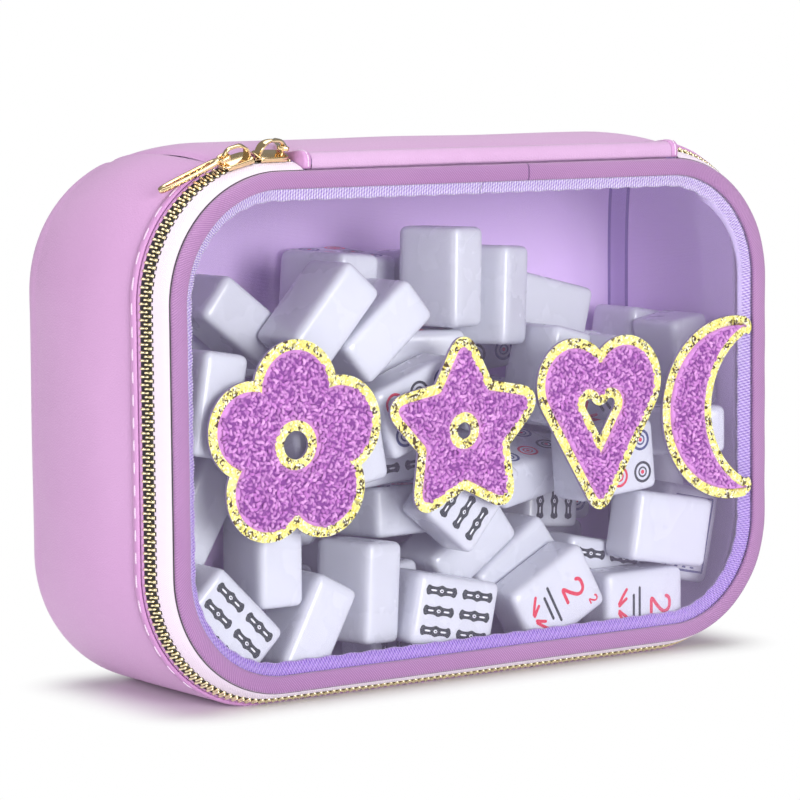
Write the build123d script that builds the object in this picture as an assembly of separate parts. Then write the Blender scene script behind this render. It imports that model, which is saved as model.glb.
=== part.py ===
"""Zippered mahjong case: a padded leather body, a clear front flap hinged along its top edge,
a two-slider metal zip round the other three sides, and the loose tiles inside.

Frame: +Z up, the front of the case at -Y, the origin on the ground under the middle of the case.
Lengths are in millimetres. A "depth" counts backwards from the flap's front face. An "out" counts
outwards from the flap's outer edge, square to that edge. A "height" counts up from mid height.
"""
from build123d import *
import math
import os
import numpy as np

# ---- the whole case ----
CASE_WIDTH = 260.0          # flap, side to side
CASE_HEIGHT = 178.0         # flap, bottom to top
CASE_DEPTH = 100.0          # flap's front face to the outside of the back
CORNER_R = 44.0             # flap's corners, seen from the front

# ---- body: padded leather gusset that bulges past the flap ----
BASE_DROP = 5.5             # the flap's bottom edge is this far above the ground
RIM_OUT = 5.5               # gusset's front rim
RIM_DEPTH = 18.0
BULGE_OUT = 9.0             # sides and top, where they stand out furthest
BULGE_DEPTH = 50.0
BACK_OUT = 5.0              # where the rounding into the back starts
BACK_ROUND = 17.0
BULGE_BANDS = 5             # bands that the bulge is built from
ROUND_BANDS = 6             # and the rounding
BASE_SINK = 0.8             # how much of the underside is pressed flat by the ground
WALL = 1.6                  # leather and its padding
LINING_T = 0.8
LINING_GAP = 0.2
BACK_SEAM_IN = 24.0         # seam of the back panel, in from where the rounding starts
SEAM_GAP = 0.15             # where two panels meet at a seam

# ---- top panel: the stretch of gusset that rolls down to the flap and is its hinge ----
TOP_SEAM_LEFT = -100.0
TOP_SEAM_RIGHT = 98.0
FOLD_FRONT = 2.3            # depth of the roll's front face
FOLD_HEIGHT = 6.2           # the roll stands this far above the flap's edge
FOLD_ROUND = 3.4
FOLD_LIFT = 0.3             # the roll's lower edge, above the flap's edge
TAB_LENGTH = 3.0            # leather tab over each end of the zip
TAB_PROUD = 0.4
TAB_GAP = 0.3

# ---- flap ----
BINDING_WIDTH = 6.2
BINDING_T = 1.7
BINDING_EASE = 0.6
WINDOW_T = 0.5
WINDOW_EDGE_IN = 1.6        # the window's cut edge lies under the binding
BAND_T = 0.8
BAND_FLAT = 4.6             # inner band: the flat stretch behind the window
BAND_SLOPE_IN = 3.6         # its free edge, further in and further back
BAND_SLOPE_BACK = 2.0

# ---- pile patches on the window ----
PATCH_BORDER = 3.6          # glitter backing that shows round the pile
PATCH_BACKING_T = 1.2
PATCH_PILE_T = 2.6
PATCH_MID_HEIGHT = -4.0     # from mid height
PATCH_X = (-81.5, -10.5, 50.5, 114.0)   # blossom, star, heart, moon

# ---- zip ----
ZIP_LEFT = -76.0            # X where it starts on the top edge
ZIP_RIGHT_ANGLE = 86.0      # where it ends on the top right corner, degrees from +X
ZIP_SLOPE = 22.0            # degrees that tapes and teeth lean outwards on their way back
TAPE_T = 0.8
TAPE_SHOW = 7.6             # front tape, from the binding to the teeth
TAPE_SEAM = 0.15            # the front tape's edge, behind the binding
CHAIN_WIDTH = 5.0           # both rows of teeth together
REAR_TAPE_BACK = 22.0       # depth where the rear tape ends inside the gusset
SHOULDER_ANGLE = 45.0       # round each top corner the tape belongs to the body this far
SHOULDER_GAP = 0.4          # degrees
TOOTH_PITCH = 2.7
TOOTH_T = 1.05              # along the chain
TOOTH_TIP_T = 0.85
TOOTH_HEIGHT = 2.2          # through the tape
TOOTH_LAP = 1.7             # how far the two rows reach past each other
TOOTH_SEAT = 0.05           # gap between a tooth and the edge of its tape

# ---- sliders ----
SLIDER_X = -84.0            # second slider, parked at the start of the zip
SLIDER_SPACING = 13.9       # from there to the first slider, along the chain
SLIDER_LENGTH = 12.6
SLIDER_WIDTH = 7.4          # at the mouth
SLIDER_NOSE = 6.9           # at the closing end
SLIDER_PLATE = 1.0
SLIDER_CHAMBER = 3.0        # inside height
SLIDER_FLANGE = 0.75
SLIDER_SLOT = 1.9           # for the tapes, at each side
POST_LENGTH = 3.2           # wedge that parts the teeth, at the mouth
POST_WIDTH = 2.4
BRIDGE_LEG = 1.9            # height of the bridge's round end above the plate
BRIDGE_R = 3.3              # outside of that round end, over the nose
BRIDGE_T = 0.95
BRIDGE_WIDTH = 1.5
BRIDGE_X = 1.7              # centre of the round end
BRIDGE_FOOT = -5.6          # the bridge's foot at the mouth
RIM_CLEAR = 0.3             # folded rim to the passing slider

# ---- pulls ----
PULL_LENGTH = 27.0
PULL_WIDTH = 3.8
PULL_T = 1.5
PULL_SLOT_WIDTH = 1.3
PULL_EYE = (2.6, 2.5)       # the eye, loose round the bridge's end
PULL_RIM = 0.9              # metal round the eye
PULL_SWINGS = (-14.0, 60.0)  # first and second pull: degrees that each lies off the chain
PULL_DIPS = (19.0, 14.5)     # and its slope down to the leather

# ---- tiles ----
TILE_LONG = 36.0
TILE_WIDE = 26.0
TILE_THICK = 18.0
TILE_EASE = 1.7
TILE_GAP = 0.25
TILE_CLEAR = 0.35           # tile to lining
TILE_LEAN = 0.1             # how far a settled tile may lean into this clearance
TILE_ROUND = 2.0            # round that stands for the eased edges where tiles meet
TILE_FRONT = 6.8            # nearest that a tile comes to the flap's front face
TILE_COUNT = 72             # at most, with those that find a place
# X and height of the heap's top
HEAP_TOPS = ((-130, 33), (-65, 42), (8, 62), (40, 50), (78, 36), (130, 25))
HEAP_SEED = 7
HEAP_TRIES = 3000
HEAP_STEP = 0.8             # height step when a tile is dropped
HEAP_LOOSE = 40.0           # how far the first dropped tiles are tipped, degrees either way
HEAP_TIGHT = 9.0            # and the rest, which settle flat
LOOSE_COUNT = 6
EASE_STEPS = 600
SETTLE_STEP = 0.3
DEPTH_BIAS = 1.5            # how much rather a shown tile moves in depth than across the window

HALF_W = CASE_WIDTH / 2
HALF_H = CASE_HEIGHT / 2
STRAIGHT_X = HALF_W - CORNER_R
STRAIGHT_Z = HALF_H - CORNER_R
MID_HEIGHT = BASE_DROP + HALF_H
PATCH_PROUD = PATCH_BACKING_T + PATCH_PILE_T - BINDING_T
FRONT_Y = (PATCH_PROUD - CASE_DEPTH) / 2
SLOPE = math.radians(ZIP_SLOPE)
CHAIN_RUN = TAPE_SHOW + CHAIN_WIDTH / 2

os.makedirs("parts", exist_ok=True)


def save(shape, name):
    solids = shape.solids()
    export_step(solids[0] if len(solids) == 1 else Compound(children=list(solids)), f"parts/{name}.step")


def at_depth(depth):
    """Plane parallel to the flap: its x is the case's X, its y is height."""
    return Plane(origin=(0, FRONT_Y + depth, MID_HEIGHT), x_dir=(1, 0, 0), z_dir=(0, -1, 0))


def outline(out):
    """The flap's outline, grown outwards by one amount all round."""
    return RectangleRounded(CASE_WIDTH + 2 * out, CASE_HEIGHT + 2 * out, CORNER_R + out)


def slab(sketch, depth_from, depth_to):
    """A flat sketch given thickness from one depth to another."""
    return extrude(at_depth(depth_to) * sketch, amount=depth_to - depth_from)


def below_ground(clear=0.0):
    """Everything lower than a height above the ground."""
    return Pos(0, 0, clear - CASE_HEIGHT / 2) * Box(2 * CASE_WIDTH, 3 * CASE_DEPTH, CASE_HEIGHT)


# ------------------------------------------------------------------ body

def bulge(depth):
    """How far the padded sides stand out at a depth: up from the rim, then down to the back."""
    if depth < BULGE_DEPTH:
        fall, reach = BULGE_OUT - RIM_OUT, BULGE_DEPTH - RIM_DEPTH
    else:
        fall, reach = BULGE_OUT - BACK_OUT, CASE_DEPTH - BACK_ROUND - BULGE_DEPTH
    return BULGE_OUT - fall * ((depth - BULGE_DEPTH) / reach) ** 2


def body_profile(inset, front):
    """Depth, out and how far the outline has turned in, for each band of the body."""
    start = CASE_DEPTH - BACK_ROUND
    depths = [front + (start - front) * n / BULGE_BANDS for n in range(BULGE_BANDS + 1)]
    rows = [(depth, bulge(depth) - inset, 0.0) for depth in depths]
    radius = BACK_ROUND - inset
    for n in range(1, ROUND_BANDS + 1):
        turn = math.pi / 2 * n / ROUND_BANDS
        sink = radius * (1 - math.cos(turn))
        rows.append((start + radius * math.sin(turn), BACK_OUT - inset - sink, sink))
    return rows


def body_form(inset, front):
    """The body's outer form, inset all round, from a front depth to the back.

    Ruled bands follow the bulge and then the rounding. The underside is cut flat by the ground.
    """
    base = BASE_DROP + BASE_SINK - inset
    sections = []
    for depth, out, sink in body_profile(inset, front):
        sketch = RectangleRounded(CASE_WIDTH + 2 * out, CASE_HEIGHT + out + base - sink, CORNER_R + out)
        sections.append(at_depth(depth) * (Pos(0, (out - base + sink) / 2) * sketch))
    return loft(sections, ruled=True) - below_ground(inset)


def make_body():
    """Side gusset, top panel, back panel and lining."""
    shell = body_form(0, RIM_DEPTH) - body_form(WALL, RIM_DEPTH - 1)
    seam = BACK_OUT - BACK_SEAM_IN
    back_zone = (CASE_DEPTH - 3 * WALL, CASE_DEPTH + 1)
    back_panel = shell & slab(outline(seam - SEAM_GAP), *back_zone)
    gusset = shell - slab(outline(seam), *back_zone)

    middle = ((TOP_SEAM_LEFT + TOP_SEAM_RIGHT) / 2, 0, MID_HEIGHT + HALF_H)
    width = TOP_SEAM_RIGHT - TOP_SEAM_LEFT
    top_zone = Pos(middle) * Box(width - SEAM_GAP, 2 * CASE_DEPTH, 2 * BACK_ROUND)
    seam_zone = Pos(middle) * Box(width + SEAM_GAP, 2 * CASE_DEPTH, 2 * BACK_ROUND + 2 * SEAM_GAP)
    top_panel = (gusset & top_zone) + make_fold()

    skin = WALL + LINING_GAP
    lining = body_form(skin, REAR_TAPE_BACK + 0.5) - body_form(skin + LINING_T, REAR_TAPE_BACK - 1)
    return gusset - seam_zone, top_panel, back_panel, lining


def fold_profile(proud):
    """Section of the roll, in depth and in height above the flap's top edge."""
    top = FOLD_HEIGHT + proud
    back = RIM_DEPTH + 0.4
    corners = [(FOLD_FRONT, FOLD_LIFT), (FOLD_FRONT, top), (RIM_DEPTH / 2, top), (back, RIM_OUT + proud),
               (back, RIM_OUT - WALL), (RIM_DEPTH / 2, RIM_OUT - WALL), (FOLD_FRONT + 4, FOLD_LIFT)]
    face = make_face(Polyline(corners, close=True))
    front_top = face.vertices().sort_by(Axis.X)[:2].sort_by(Axis.Y)[-1]
    return fillet(front_top, FOLD_ROUND)


def along_top(face, x_from, x_to):
    side = Plane(origin=(x_from, FRONT_Y, MID_HEIGHT + HALF_H), x_dir=(0, 1, 0), z_dir=(1, 0, 0))
    return extrude(side * face, amount=x_to - x_from)


def fold_ends():
    """X of the roll's two ends, inside the tabs."""
    left = ZIP_LEFT + TAB_GAP + TAB_LENGTH + SEAM_GAP
    right = zip_right_x() - TAB_GAP - TAB_LENGTH - SEAM_GAP
    return left, right


def zip_right_x():
    return STRAIGHT_X + CORNER_R * math.cos(math.radians(ZIP_RIGHT_ANGLE))


def make_fold():
    left, right = fold_ends()
    return along_top(fold_profile(0), left, right)


def make_tab(side):
    """Leather tab that closes the roll over one end of the zip, short of the top panel."""
    left, right = fold_ends()
    face = fold_profile(TAB_PROUD) - Pos(RIM_DEPTH + 50 - 0.3, 0) * Rectangle(100, 100)
    if side == "left":
        return along_top(face, left - SEAM_GAP - TAB_LENGTH, left - SEAM_GAP)
    return along_top(face, right + SEAM_GAP, right + SEAM_GAP + TAB_LENGTH)


# ------------------------------------------------------------------ zip

def chain_point(run, across=0.0):
    """Out and depth of a point that far along the sloping tape, and that far off its outer face."""
    return (run * math.sin(SLOPE) + across * math.cos(SLOPE),
            BINDING_T + run * math.cos(SLOPE) - across * math.sin(SLOPE))


def corner(x_sign, z_sign, start, turn):
    return CenterArc((x_sign * STRAIGHT_X, z_sign * STRAIGHT_Z), CORNER_R, start, turn)


def zip_path(stretch):
    """The flap's outline along one stretch of the zip: whole, flap, left_end or right_end."""
    shoulder = SHOULDER_ANGLE + (SHOULDER_GAP if stretch == "flap" else 0)
    last = 180 - ZIP_RIGHT_ANGLE - shoulder
    top = Line((ZIP_LEFT, HALF_H), (-STRAIGHT_X, HALF_H))
    if stretch == "left_end":
        return Wire([top, corner(-1, 1, 90, shoulder)])
    if stretch == "right_end":
        return Wire([corner(1, 1, 90 - shoulder, ZIP_RIGHT_ANGLE - 90 + shoulder)])
    whole = stretch == "whole"
    edges = [top] if whole else []
    edges += [
        corner(-1, 1, 90 if whole else 90 + shoulder, 90 if whole else 90 - shoulder),
        Line((-HALF_W, STRAIGHT_Z), (-HALF_W, -STRAIGHT_Z)),
        corner(-1, -1, 180, 90),
        Line((-STRAIGHT_X, -HALF_H), (STRAIGHT_X, -HALF_H)),
        corner(1, -1, 270, 90),
        Line((HALF_W, -STRAIGHT_Z), (HALF_W, STRAIGHT_Z)),
        corner(1, 1, 0, ZIP_RIGHT_ANGLE if whole else 90 - shoulder),
    ]
    return Wire(edges)


def along_zip(profile, stretch):
    """Carry a closed profile of (out, depth) points along a stretch of the zip."""
    path = at_depth(0) * zip_path(stretch)
    tangent = path % 0
    outward = tangent.cross(Vector(0, 1, 0)) * -1
    start = Plane(origin=path @ 0, x_dir=outward, z_dir=tangent)
    return sweep(start * make_face(Polyline(profile, close=True)), path=path)


def front_tape(stretch):
    return along_zip([chain_point(TAPE_SEAM), chain_point(TAPE_SHOW), chain_point(TAPE_SHOW, -TAPE_T),
                      chain_point(TAPE_SEAM, -TAPE_T)], stretch)


def rear_tape():
    """Rear tape: from the teeth, through the slider's slot, then back along the inside of the gusset."""
    edge = TAPE_SHOW + CHAIN_WIDTH
    bend = CHAIN_RUN + SLIDER_WIDTH / 2 + 0.2
    out = RIM_OUT - WALL - 0.3
    return along_zip([chain_point(edge), chain_point(bend), (out, RIM_DEPTH), (out, REAR_TAPE_BACK),
                      (out - TAPE_T, REAR_TAPE_BACK), (out - TAPE_T, RIM_DEPTH - 0.4),
                      chain_point(bend - 0.2, -TAPE_T), chain_point(edge, -TAPE_T)], "whole")


def folded_rim():
    """The gusset's cut edge, turned over a cord and stitched down on the rear tape."""
    out, depth = chain_point(CHAIN_RUN + SLIDER_WIDTH / 2 + RIM_CLEAR, 0.25)
    profile = [(out, depth), (out + 0.7, depth - 0.1), (out + 1.2, depth + 0.9),
               (out + 1.0, RIM_DEPTH - 0.1), (RIM_OUT - WALL + 0.35, RIM_DEPTH - 0.1)]
    return along_zip(profile, "whole") - below_ground()


def chain_middle():
    """Out and depth of the chain's middle line."""
    return chain_point(CHAIN_RUN, -TAPE_T / 2)


def chain_runs():
    """The chain's middle line, as straight and round runs: kind, start or centre, outward angle, length."""
    out, _ = chain_middle()
    quarter = (CORNER_R + out) * math.pi / 2
    return [
        ("line", (ZIP_LEFT, HALF_H + out), 90, STRAIGHT_X + ZIP_LEFT),
        ("arc", (-STRAIGHT_X, STRAIGHT_Z), 90, quarter),
        ("line", (-HALF_W - out, STRAIGHT_Z), 180, 2 * STRAIGHT_Z),
        ("arc", (-STRAIGHT_X, -STRAIGHT_Z), 180, quarter),
        ("line", (-STRAIGHT_X, -HALF_H - out), 270, 2 * STRAIGHT_X),
        ("arc", (STRAIGHT_X, -STRAIGHT_Z), 270, quarter),
        ("line", (HALF_W + out, -STRAIGHT_Z), 0, 2 * STRAIGHT_Z),
        ("arc", (STRAIGHT_X, STRAIGHT_Z), 0, quarter * ZIP_RIGHT_ANGLE / 90),
    ]


def chain_length():
    return sum(run[3] for run in chain_runs())


def chain_frame(distance):
    """Centre, outward normal, tangent and outward angle, that far along the chain."""
    out, depth = chain_middle()
    for kind, (x, z), angle, length in chain_runs():
        if distance <= length + 1e-6:
            break
        distance -= length
    if kind == "arc":
        angle += math.degrees(distance / (CORNER_R + out))
        distance = 0
    normal = Vector(math.cos(math.radians(angle)), 0, math.sin(math.radians(angle)))
    tangent = Vector(-normal.Z, 0, normal.X)
    centre = Vector(x, 0, z) + tangent * distance
    if kind == "arc":
        centre += normal * (CORNER_R + out)
    return centre + Vector(0, FRONT_Y + depth, MID_HEIGHT), normal, tangent, angle


def tooth(front):
    """One tooth, clamped on the edge of its tape, its head tapering towards the other row.

    x is along the tape towards the back, y is through the tape, z is along the chain.
    """
    base = CHAIN_WIDTH / 2 - TOOTH_SEAT
    tip = -TOOTH_LAP / 2
    side = -1 if front else 1
    plan = make_face(Polyline([(side * base, -TOOTH_T / 2), (side * tip, -TOOTH_TIP_T / 2),
                               (side * tip, TOOTH_TIP_T / 2), (side * base, TOOTH_T / 2)], close=True))
    block = extrude(Plane.XZ * plan, amount=TOOTH_HEIGHT / 2, both=True)
    return block.solids()[0]


def tooth_places(front):
    """Distances along the chain of one row's teeth, leaving out those the sliders' wedges push aside."""
    first = TOOTH_PITCH * (0.4 if front else 0.9)
    count = int((chain_length() - first - TOOTH_T) / TOOTH_PITCH) + 1
    wedges = [slider_place(number) + slider_mouth(number) * (SLIDER_LENGTH - POST_LENGTH) / 2
              for number in (1, 2)]
    places = [first + TOOTH_PITCH * n for n in range(count)]
    return [p for p in places if all(abs(p - w) > (POST_LENGTH + TOOTH_T) / 2 + 0.1 for w in wedges)]


def teeth(front, flap):
    """One row of teeth: the flap's own stretch, or the two ends that stay with the body."""
    one = tooth(front)
    out, _ = chain_middle()
    shoulder = STRAIGHT_X + ZIP_LEFT + math.radians(SHOULDER_ANGLE) * (CORNER_R + out)
    far_shoulder = chain_length() - math.radians(ZIP_RIGHT_ANGLE - SHOULDER_ANGLE) * (CORNER_R + out)
    row = []
    for place in tooth_places(front):
        if front and flap != (shoulder < place < far_shoulder):
            continue
        centre, normal, tangent, _ = chain_frame(place)
        run = normal * math.sin(SLOPE) + Vector(0, 1, 0) * math.cos(SLOPE)
        row.append(one.moved(Plane(origin=centre, x_dir=run, z_dir=tangent * -1).location))
    return Compound(children=row)


# ------------------------------------------------------------------ sliders and pulls

def slider_place(number):
    """Distance along the chain of a slider's middle; the second is parked at the zip's start."""
    return SLIDER_X * -1 + ZIP_LEFT + (SLIDER_SPACING if number == 1 else 0)


def slider_mouth(number):
    """The sliders stand mouth to mouth: the first slider's mouth faces back along the chain."""
    return -1 if number == 1 else 1


def slider_frame(number):
    """x from mouth to nose, z off the tape's outer face, origin in the middle of the chain."""
    centre, normal, tangent, _ = chain_frame(slider_place(number))
    off = normal * math.cos(SLOPE) - Vector(0, 1, 0) * math.sin(SLOPE)
    return Plane(origin=centre, x_dir=tangent * -slider_mouth(number), z_dir=off)


def slider_plan(shrink=0.0):
    """Seen from above: wide at the mouth, drawn in at the nose, with cut corners."""
    half, wide, nose = SLIDER_LENGTH / 2 - shrink, SLIDER_WIDTH / 2 - shrink, SLIDER_NOSE / 2 - shrink
    side = [(-half, -wide + 1.2), (-half + 1.6, -wide), (0.5, -wide), (half - 1.2, -nose),
            (half, -nose + 1.4)]
    other = [(x, -y) for x, y in reversed(side)]
    return make_face(Polyline(side + other, close=True))


def slider_body():
    """Two plates with inturned flanges, joined by the wedge at the mouth, with a bridge on top."""
    half = SLIDER_CHAMBER / 2
    plate = extrude(slider_plan(), amount=SLIDER_PLATE)
    rails = slider_plan() - Rectangle(2 * SLIDER_LENGTH, SLIDER_NOSE - 2 * SLIDER_FLANGE)
    rail_height = (SLIDER_CHAMBER - SLIDER_SLOT) / 2
    body = Pos(0, 0, half) * plate + Pos(0, 0, -half - SLIDER_PLATE) * plate
    body += extrude(Pos(0, 0, half - rail_height) * rails, amount=rail_height + 0.1)
    body += extrude(Pos(0, 0, -half - 0.1) * rails, amount=rail_height + 0.1)
    mouth, widest = -SLIDER_LENGTH / 2, -SLIDER_LENGTH / 2 + POST_LENGTH * 0.6
    wedge = make_face(Polyline([(mouth, 0), (widest, POST_WIDTH / 2), (mouth + POST_LENGTH, 0),
                                (widest, -POST_WIDTH / 2)], close=True))
    body += extrude(Pos(0, 0, -half - 0.1) * wedge, amount=SLIDER_CHAMBER + 0.2)
    return body + slider_bridge()


def slider_bridge():
    """Strap over the upper plate: a round end at the nose, for the pull's eye, then down to the mouth."""
    def line_at(drop):
        top = BRIDGE_LEG + BRIDGE_R - drop
        reach = BRIDGE_X + BRIDGE_R - drop
        foot = BRIDGE_FOOT + drop
        return [Line((reach, 0), (reach, BRIDGE_LEG)),
                CenterArc((BRIDGE_X, BRIDGE_LEG), BRIDGE_R - drop, 0, 90),
                Line((BRIDGE_X, top), (BRIDGE_X - 2.2, top)),
                Bezier((BRIDGE_X - 2.2, top), (BRIDGE_X - 4.6, top), (foot, top - 1.4), (foot, 0))]
    outer, inner = line_at(0), line_at(BRIDGE_T)
    ends = [Line(outer[0] @ 0, inner[0] @ 0), Line(outer[-1] @ 1, inner[-1] @ 1)]
    face = make_face(outer + inner + ends)
    side = Plane(origin=(0, 0, plate_top() - 0.05), x_dir=(1, 0, 0), z_dir=(0, -1, 0))
    return extrude(side * face, amount=BRIDGE_WIDTH / 2, both=True)


def plate_top():
    return SLIDER_CHAMBER / 2 + SLIDER_PLATE


def pull_pivot(number):
    """Where a pull's hinge line crosses its slider: the middle of the bridge's round end."""
    return slider_frame(number) * Pos(BRIDGE_X, 0, plate_top() + BRIDGE_LEG)


def pull(number):
    """A slotted bar with an eye, lying over the leather from the bridge's leg."""
    eye_l, eye_w = PULL_EYE
    head_l, head_w = eye_l + 2 * PULL_RIM, eye_w + 2 * PULL_RIM
    tip = PULL_LENGTH - head_l / 2
    start = head_l / 2 - 0.6
    plan = RectangleRounded(head_l, head_w, 1.2)
    plan += Pos((start + tip) / 2, 0) * RectangleRounded(tip - start, PULL_WIDTH, 0.5)
    plan -= Rectangle(eye_l, eye_w)
    slot_from, slot_to = start + 3.2, tip - 3.0
    plan -= Pos((slot_from + slot_to) / 2, 0) * SlotOverall(slot_to - slot_from, PULL_SLOT_WIDTH)
    bar = extrude(plan, amount=PULL_T / 2, both=True)
    leg = pull_pivot(number) * Pos(BRIDGE_R - BRIDGE_T / 2, 0, 0)
    return leg * Rot(0, 0, PULL_SWINGS[number - 1]) * Rot(0, PULL_DIPS[number - 1], 0) * bar


# ------------------------------------------------------------------ flap

def binding():
    ring = slab(outline(0) - outline(-BINDING_WIDTH), 0, BINDING_T)
    front = ring.faces().sort_by(Axis.Y)[0]
    return chamfer(front.edges(), BINDING_EASE)


def inner_band():
    """Elastic edging behind the window: flat under the binding, then sloping back to its free edge."""
    front = BINDING_T + WINDOW_T + 0.05
    inner, edge = -WINDOW_EDGE_IN - BAND_FLAT, -WINDOW_EDGE_IN - BAND_FLAT - BAND_SLOPE_IN
    back = front + BAND_SLOPE_BACK
    profile = [(-WINDOW_EDGE_IN, front), (inner, front), (edge, back), (edge, back + BAND_T),
               (inner, front + BAND_T), (-WINDOW_EDGE_IN, front + BAND_T)]
    edges = [Line((0, -HALF_H), (STRAIGHT_X, -HALF_H)), corner(1, -1, 270, 90),
             Line((HALF_W, -STRAIGHT_Z), (HALF_W, STRAIGHT_Z)), corner(1, 1, 0, 90),
             Line((STRAIGHT_X, HALF_H), (-STRAIGHT_X, HALF_H)), corner(-1, 1, 90, 90),
             Line((-HALF_W, STRAIGHT_Z), (-HALF_W, -STRAIGHT_Z)), corner(-1, -1, 180, 90),
             Line((-STRAIGHT_X, -HALF_H), (0, -HALF_H))]
    path = at_depth(0) * Wire(edges)
    start = Plane(origin=path @ 0, x_dir=(0, 0, -1), z_dir=(1, 0, 0))
    return sweep(start * make_face(Polyline(profile, close=True)), path=path)


# ------------------------------------------------------------------ patches

def blossom():
    """Five round petals round an open middle."""
    petals = Sketch() + [PolarLocations(19.0, 5, 90).locations[n] * Circle(13.5) for n in range(5)]
    return make_face((petals + Circle(16)).faces()[0].outer_wire()), Circle(8.5)


def star():
    """Five points, eased, with a small round hole."""
    points = [(r * math.cos(a), r * math.sin(a)) for r, a in
              ((32.0 if n % 2 == 0 else 17.0, math.radians(90 + 36 * n)) for n in range(10))]
    face = make_face(Polyline(points, close=True))
    return fillet(face.vertices(), 2.6), Circle(6.5)


def heart(size=1.0):
    """Two round lobes and the tangents down to an eased point."""
    lobe, x, z, tip = 13.2 * size, 11.8 * size, 13.0 * size, 31.0 * size
    span = math.hypot(x, z + tip)
    lean = math.atan2(z + tip, x) - math.asin(lobe / span)
    reach = math.sqrt(span ** 2 - lobe ** 2)
    side = (reach * math.cos(lean), reach * math.sin(lean) - tip)
    body = make_face(Polyline([(0, -tip), side, (x, z), (-x, z), (-side[0], side[1])], close=True))
    shape = body + Pos(x, z) * Circle(lobe) + Pos(-x, z) * Circle(lobe)
    point = shape.vertices().sort_by(Axis.Y)[0]
    return fillet(point, 3.0 * size)


def moon():
    """A crescent, its horns rounded."""
    shape = Circle(30.5) - Pos(19.5, 0) * Circle(34)
    return fillet(shape.vertices(), 1.2)


def patch(outer, hole, x):
    """Pile top and its wider glitter backing, standing on the window."""
    place = Pos(x, PATCH_MID_HEIGHT)
    backing = offset(outer, PATCH_BORDER)
    pile = outer
    if hole is not None:
        pile = outer - hole
        backing = backing - offset(hole, -PATCH_BORDER)
    split = BINDING_T - PATCH_BACKING_T
    return (slab(place * backing, split, BINDING_T), slab(place * pile, split - PATCH_PILE_T, split))


# ------------------------------------------------------------------ tiles

# Tiles that show through the window: X, depth, height above the flap's bottom edge, what they turn
# to the front (their marked face, a long edge, an end, or their marked face upwards), the slant of
# their long side seen from the front, their turn about the upright, and the kind of mark.
SHOWN = (
    (-101, 16, 26, "face", -45, 0, "bamboo"), (-82, 22, 11, "edge", -25, 0, "blank"),
    (-78, 22, 41, "edge", 90, 0, "blank"), (-64, 20, 22, "edge", 62, 0, "blank"),
    (-50, 16, 29, "edge", 86, 15, "blank"), (-22, 38, 21, "face", 95, 10, "bamboo"),
    (-10, 16, 19, "face", -12, 0, "bamboo"), (8, 18, 38, "edge", 35, 0, "blank"),
    (32, 22, 32, "edge", 35, 0, "blank"), (37, 16, 19, "face", 28, 0, "number"),
    (72, 24, 23, "face", -12, 0, "bamboo"), (83, 18, 14, "face", 0, 0, "number"),
    (89, 18, 38, "face", -10, 0, "blank"), (117, 18, 29, "face", 78, 0, "frame"),
    (118, 30, 58, "edge", 90, 0, "blank"), (108, 26, 77, "flat", 0, -20, "frame"),
    (112, 34, 96, "edge", 100, 0, "blank"), (122, 46, 100, "edge", 80, 0, "blank"),
    (-78, 28, 124, "edge", -38, 0, "blank"), (-58, 24, 127, "edge", 48, 0, "blank"),
    (-34, 40, 133, "end", -5, 5, "blank"), (-35, 30, 118, "edge", 40, 0, "blank"),
    (4, 34, 136, "edge", 88, 20, "blank"), (34, 38, 127, "edge", 86, 25, "blank"),
    (62, 44, 120, "face", -14, 0, "blank"), (-10, 32, 113, "flat", 0, -15, "dots"),
    (-20, 26, 94, "face", 20, 0, "dots"), (-19, 30, 78, "face", 5, 0, "bamboo"),
    (46, 30, 97, "edge", 75, 0, "blank"), (69, 24, 89, "face", 40, 0, "number"),
    (70, 22, 65, "face", 5, 0, "dots"), (-107, 18, 101, "edge", 80, 0, "blank"),
    (-96, 30, 57, "edge", 60, 0, "blank"), (-57, 16, 77, "face", 10, 0, "blank"),
    (0, 18, 61, "face", 50, 0, "bamboo"),
)
FILLER_KINDS = ("bamboo", "dots", "blank", "number", "dots", "blank")
TILE_SIZE = np.array([TILE_LONG, TILE_THICK, TILE_WIDE])


def turned(axis, degrees):
    """Rotation matrix about x (0), y (1) or z (2)."""
    a = math.radians(degrees)
    i, j = [(1, 2), (2, 0), (0, 1)][axis]
    m = np.eye(3)
    m[i, i] = m[j, j] = math.cos(a)
    m[j, i], m[i, j] = math.sin(a), -math.sin(a)
    return m


# A tile's own x is its long side, its own -y its marked face.
SHOWING = {"face": np.eye(3), "edge": turned(0, 90), "end": turned(2, 90), "flat": turned(0, 90)}


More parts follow.
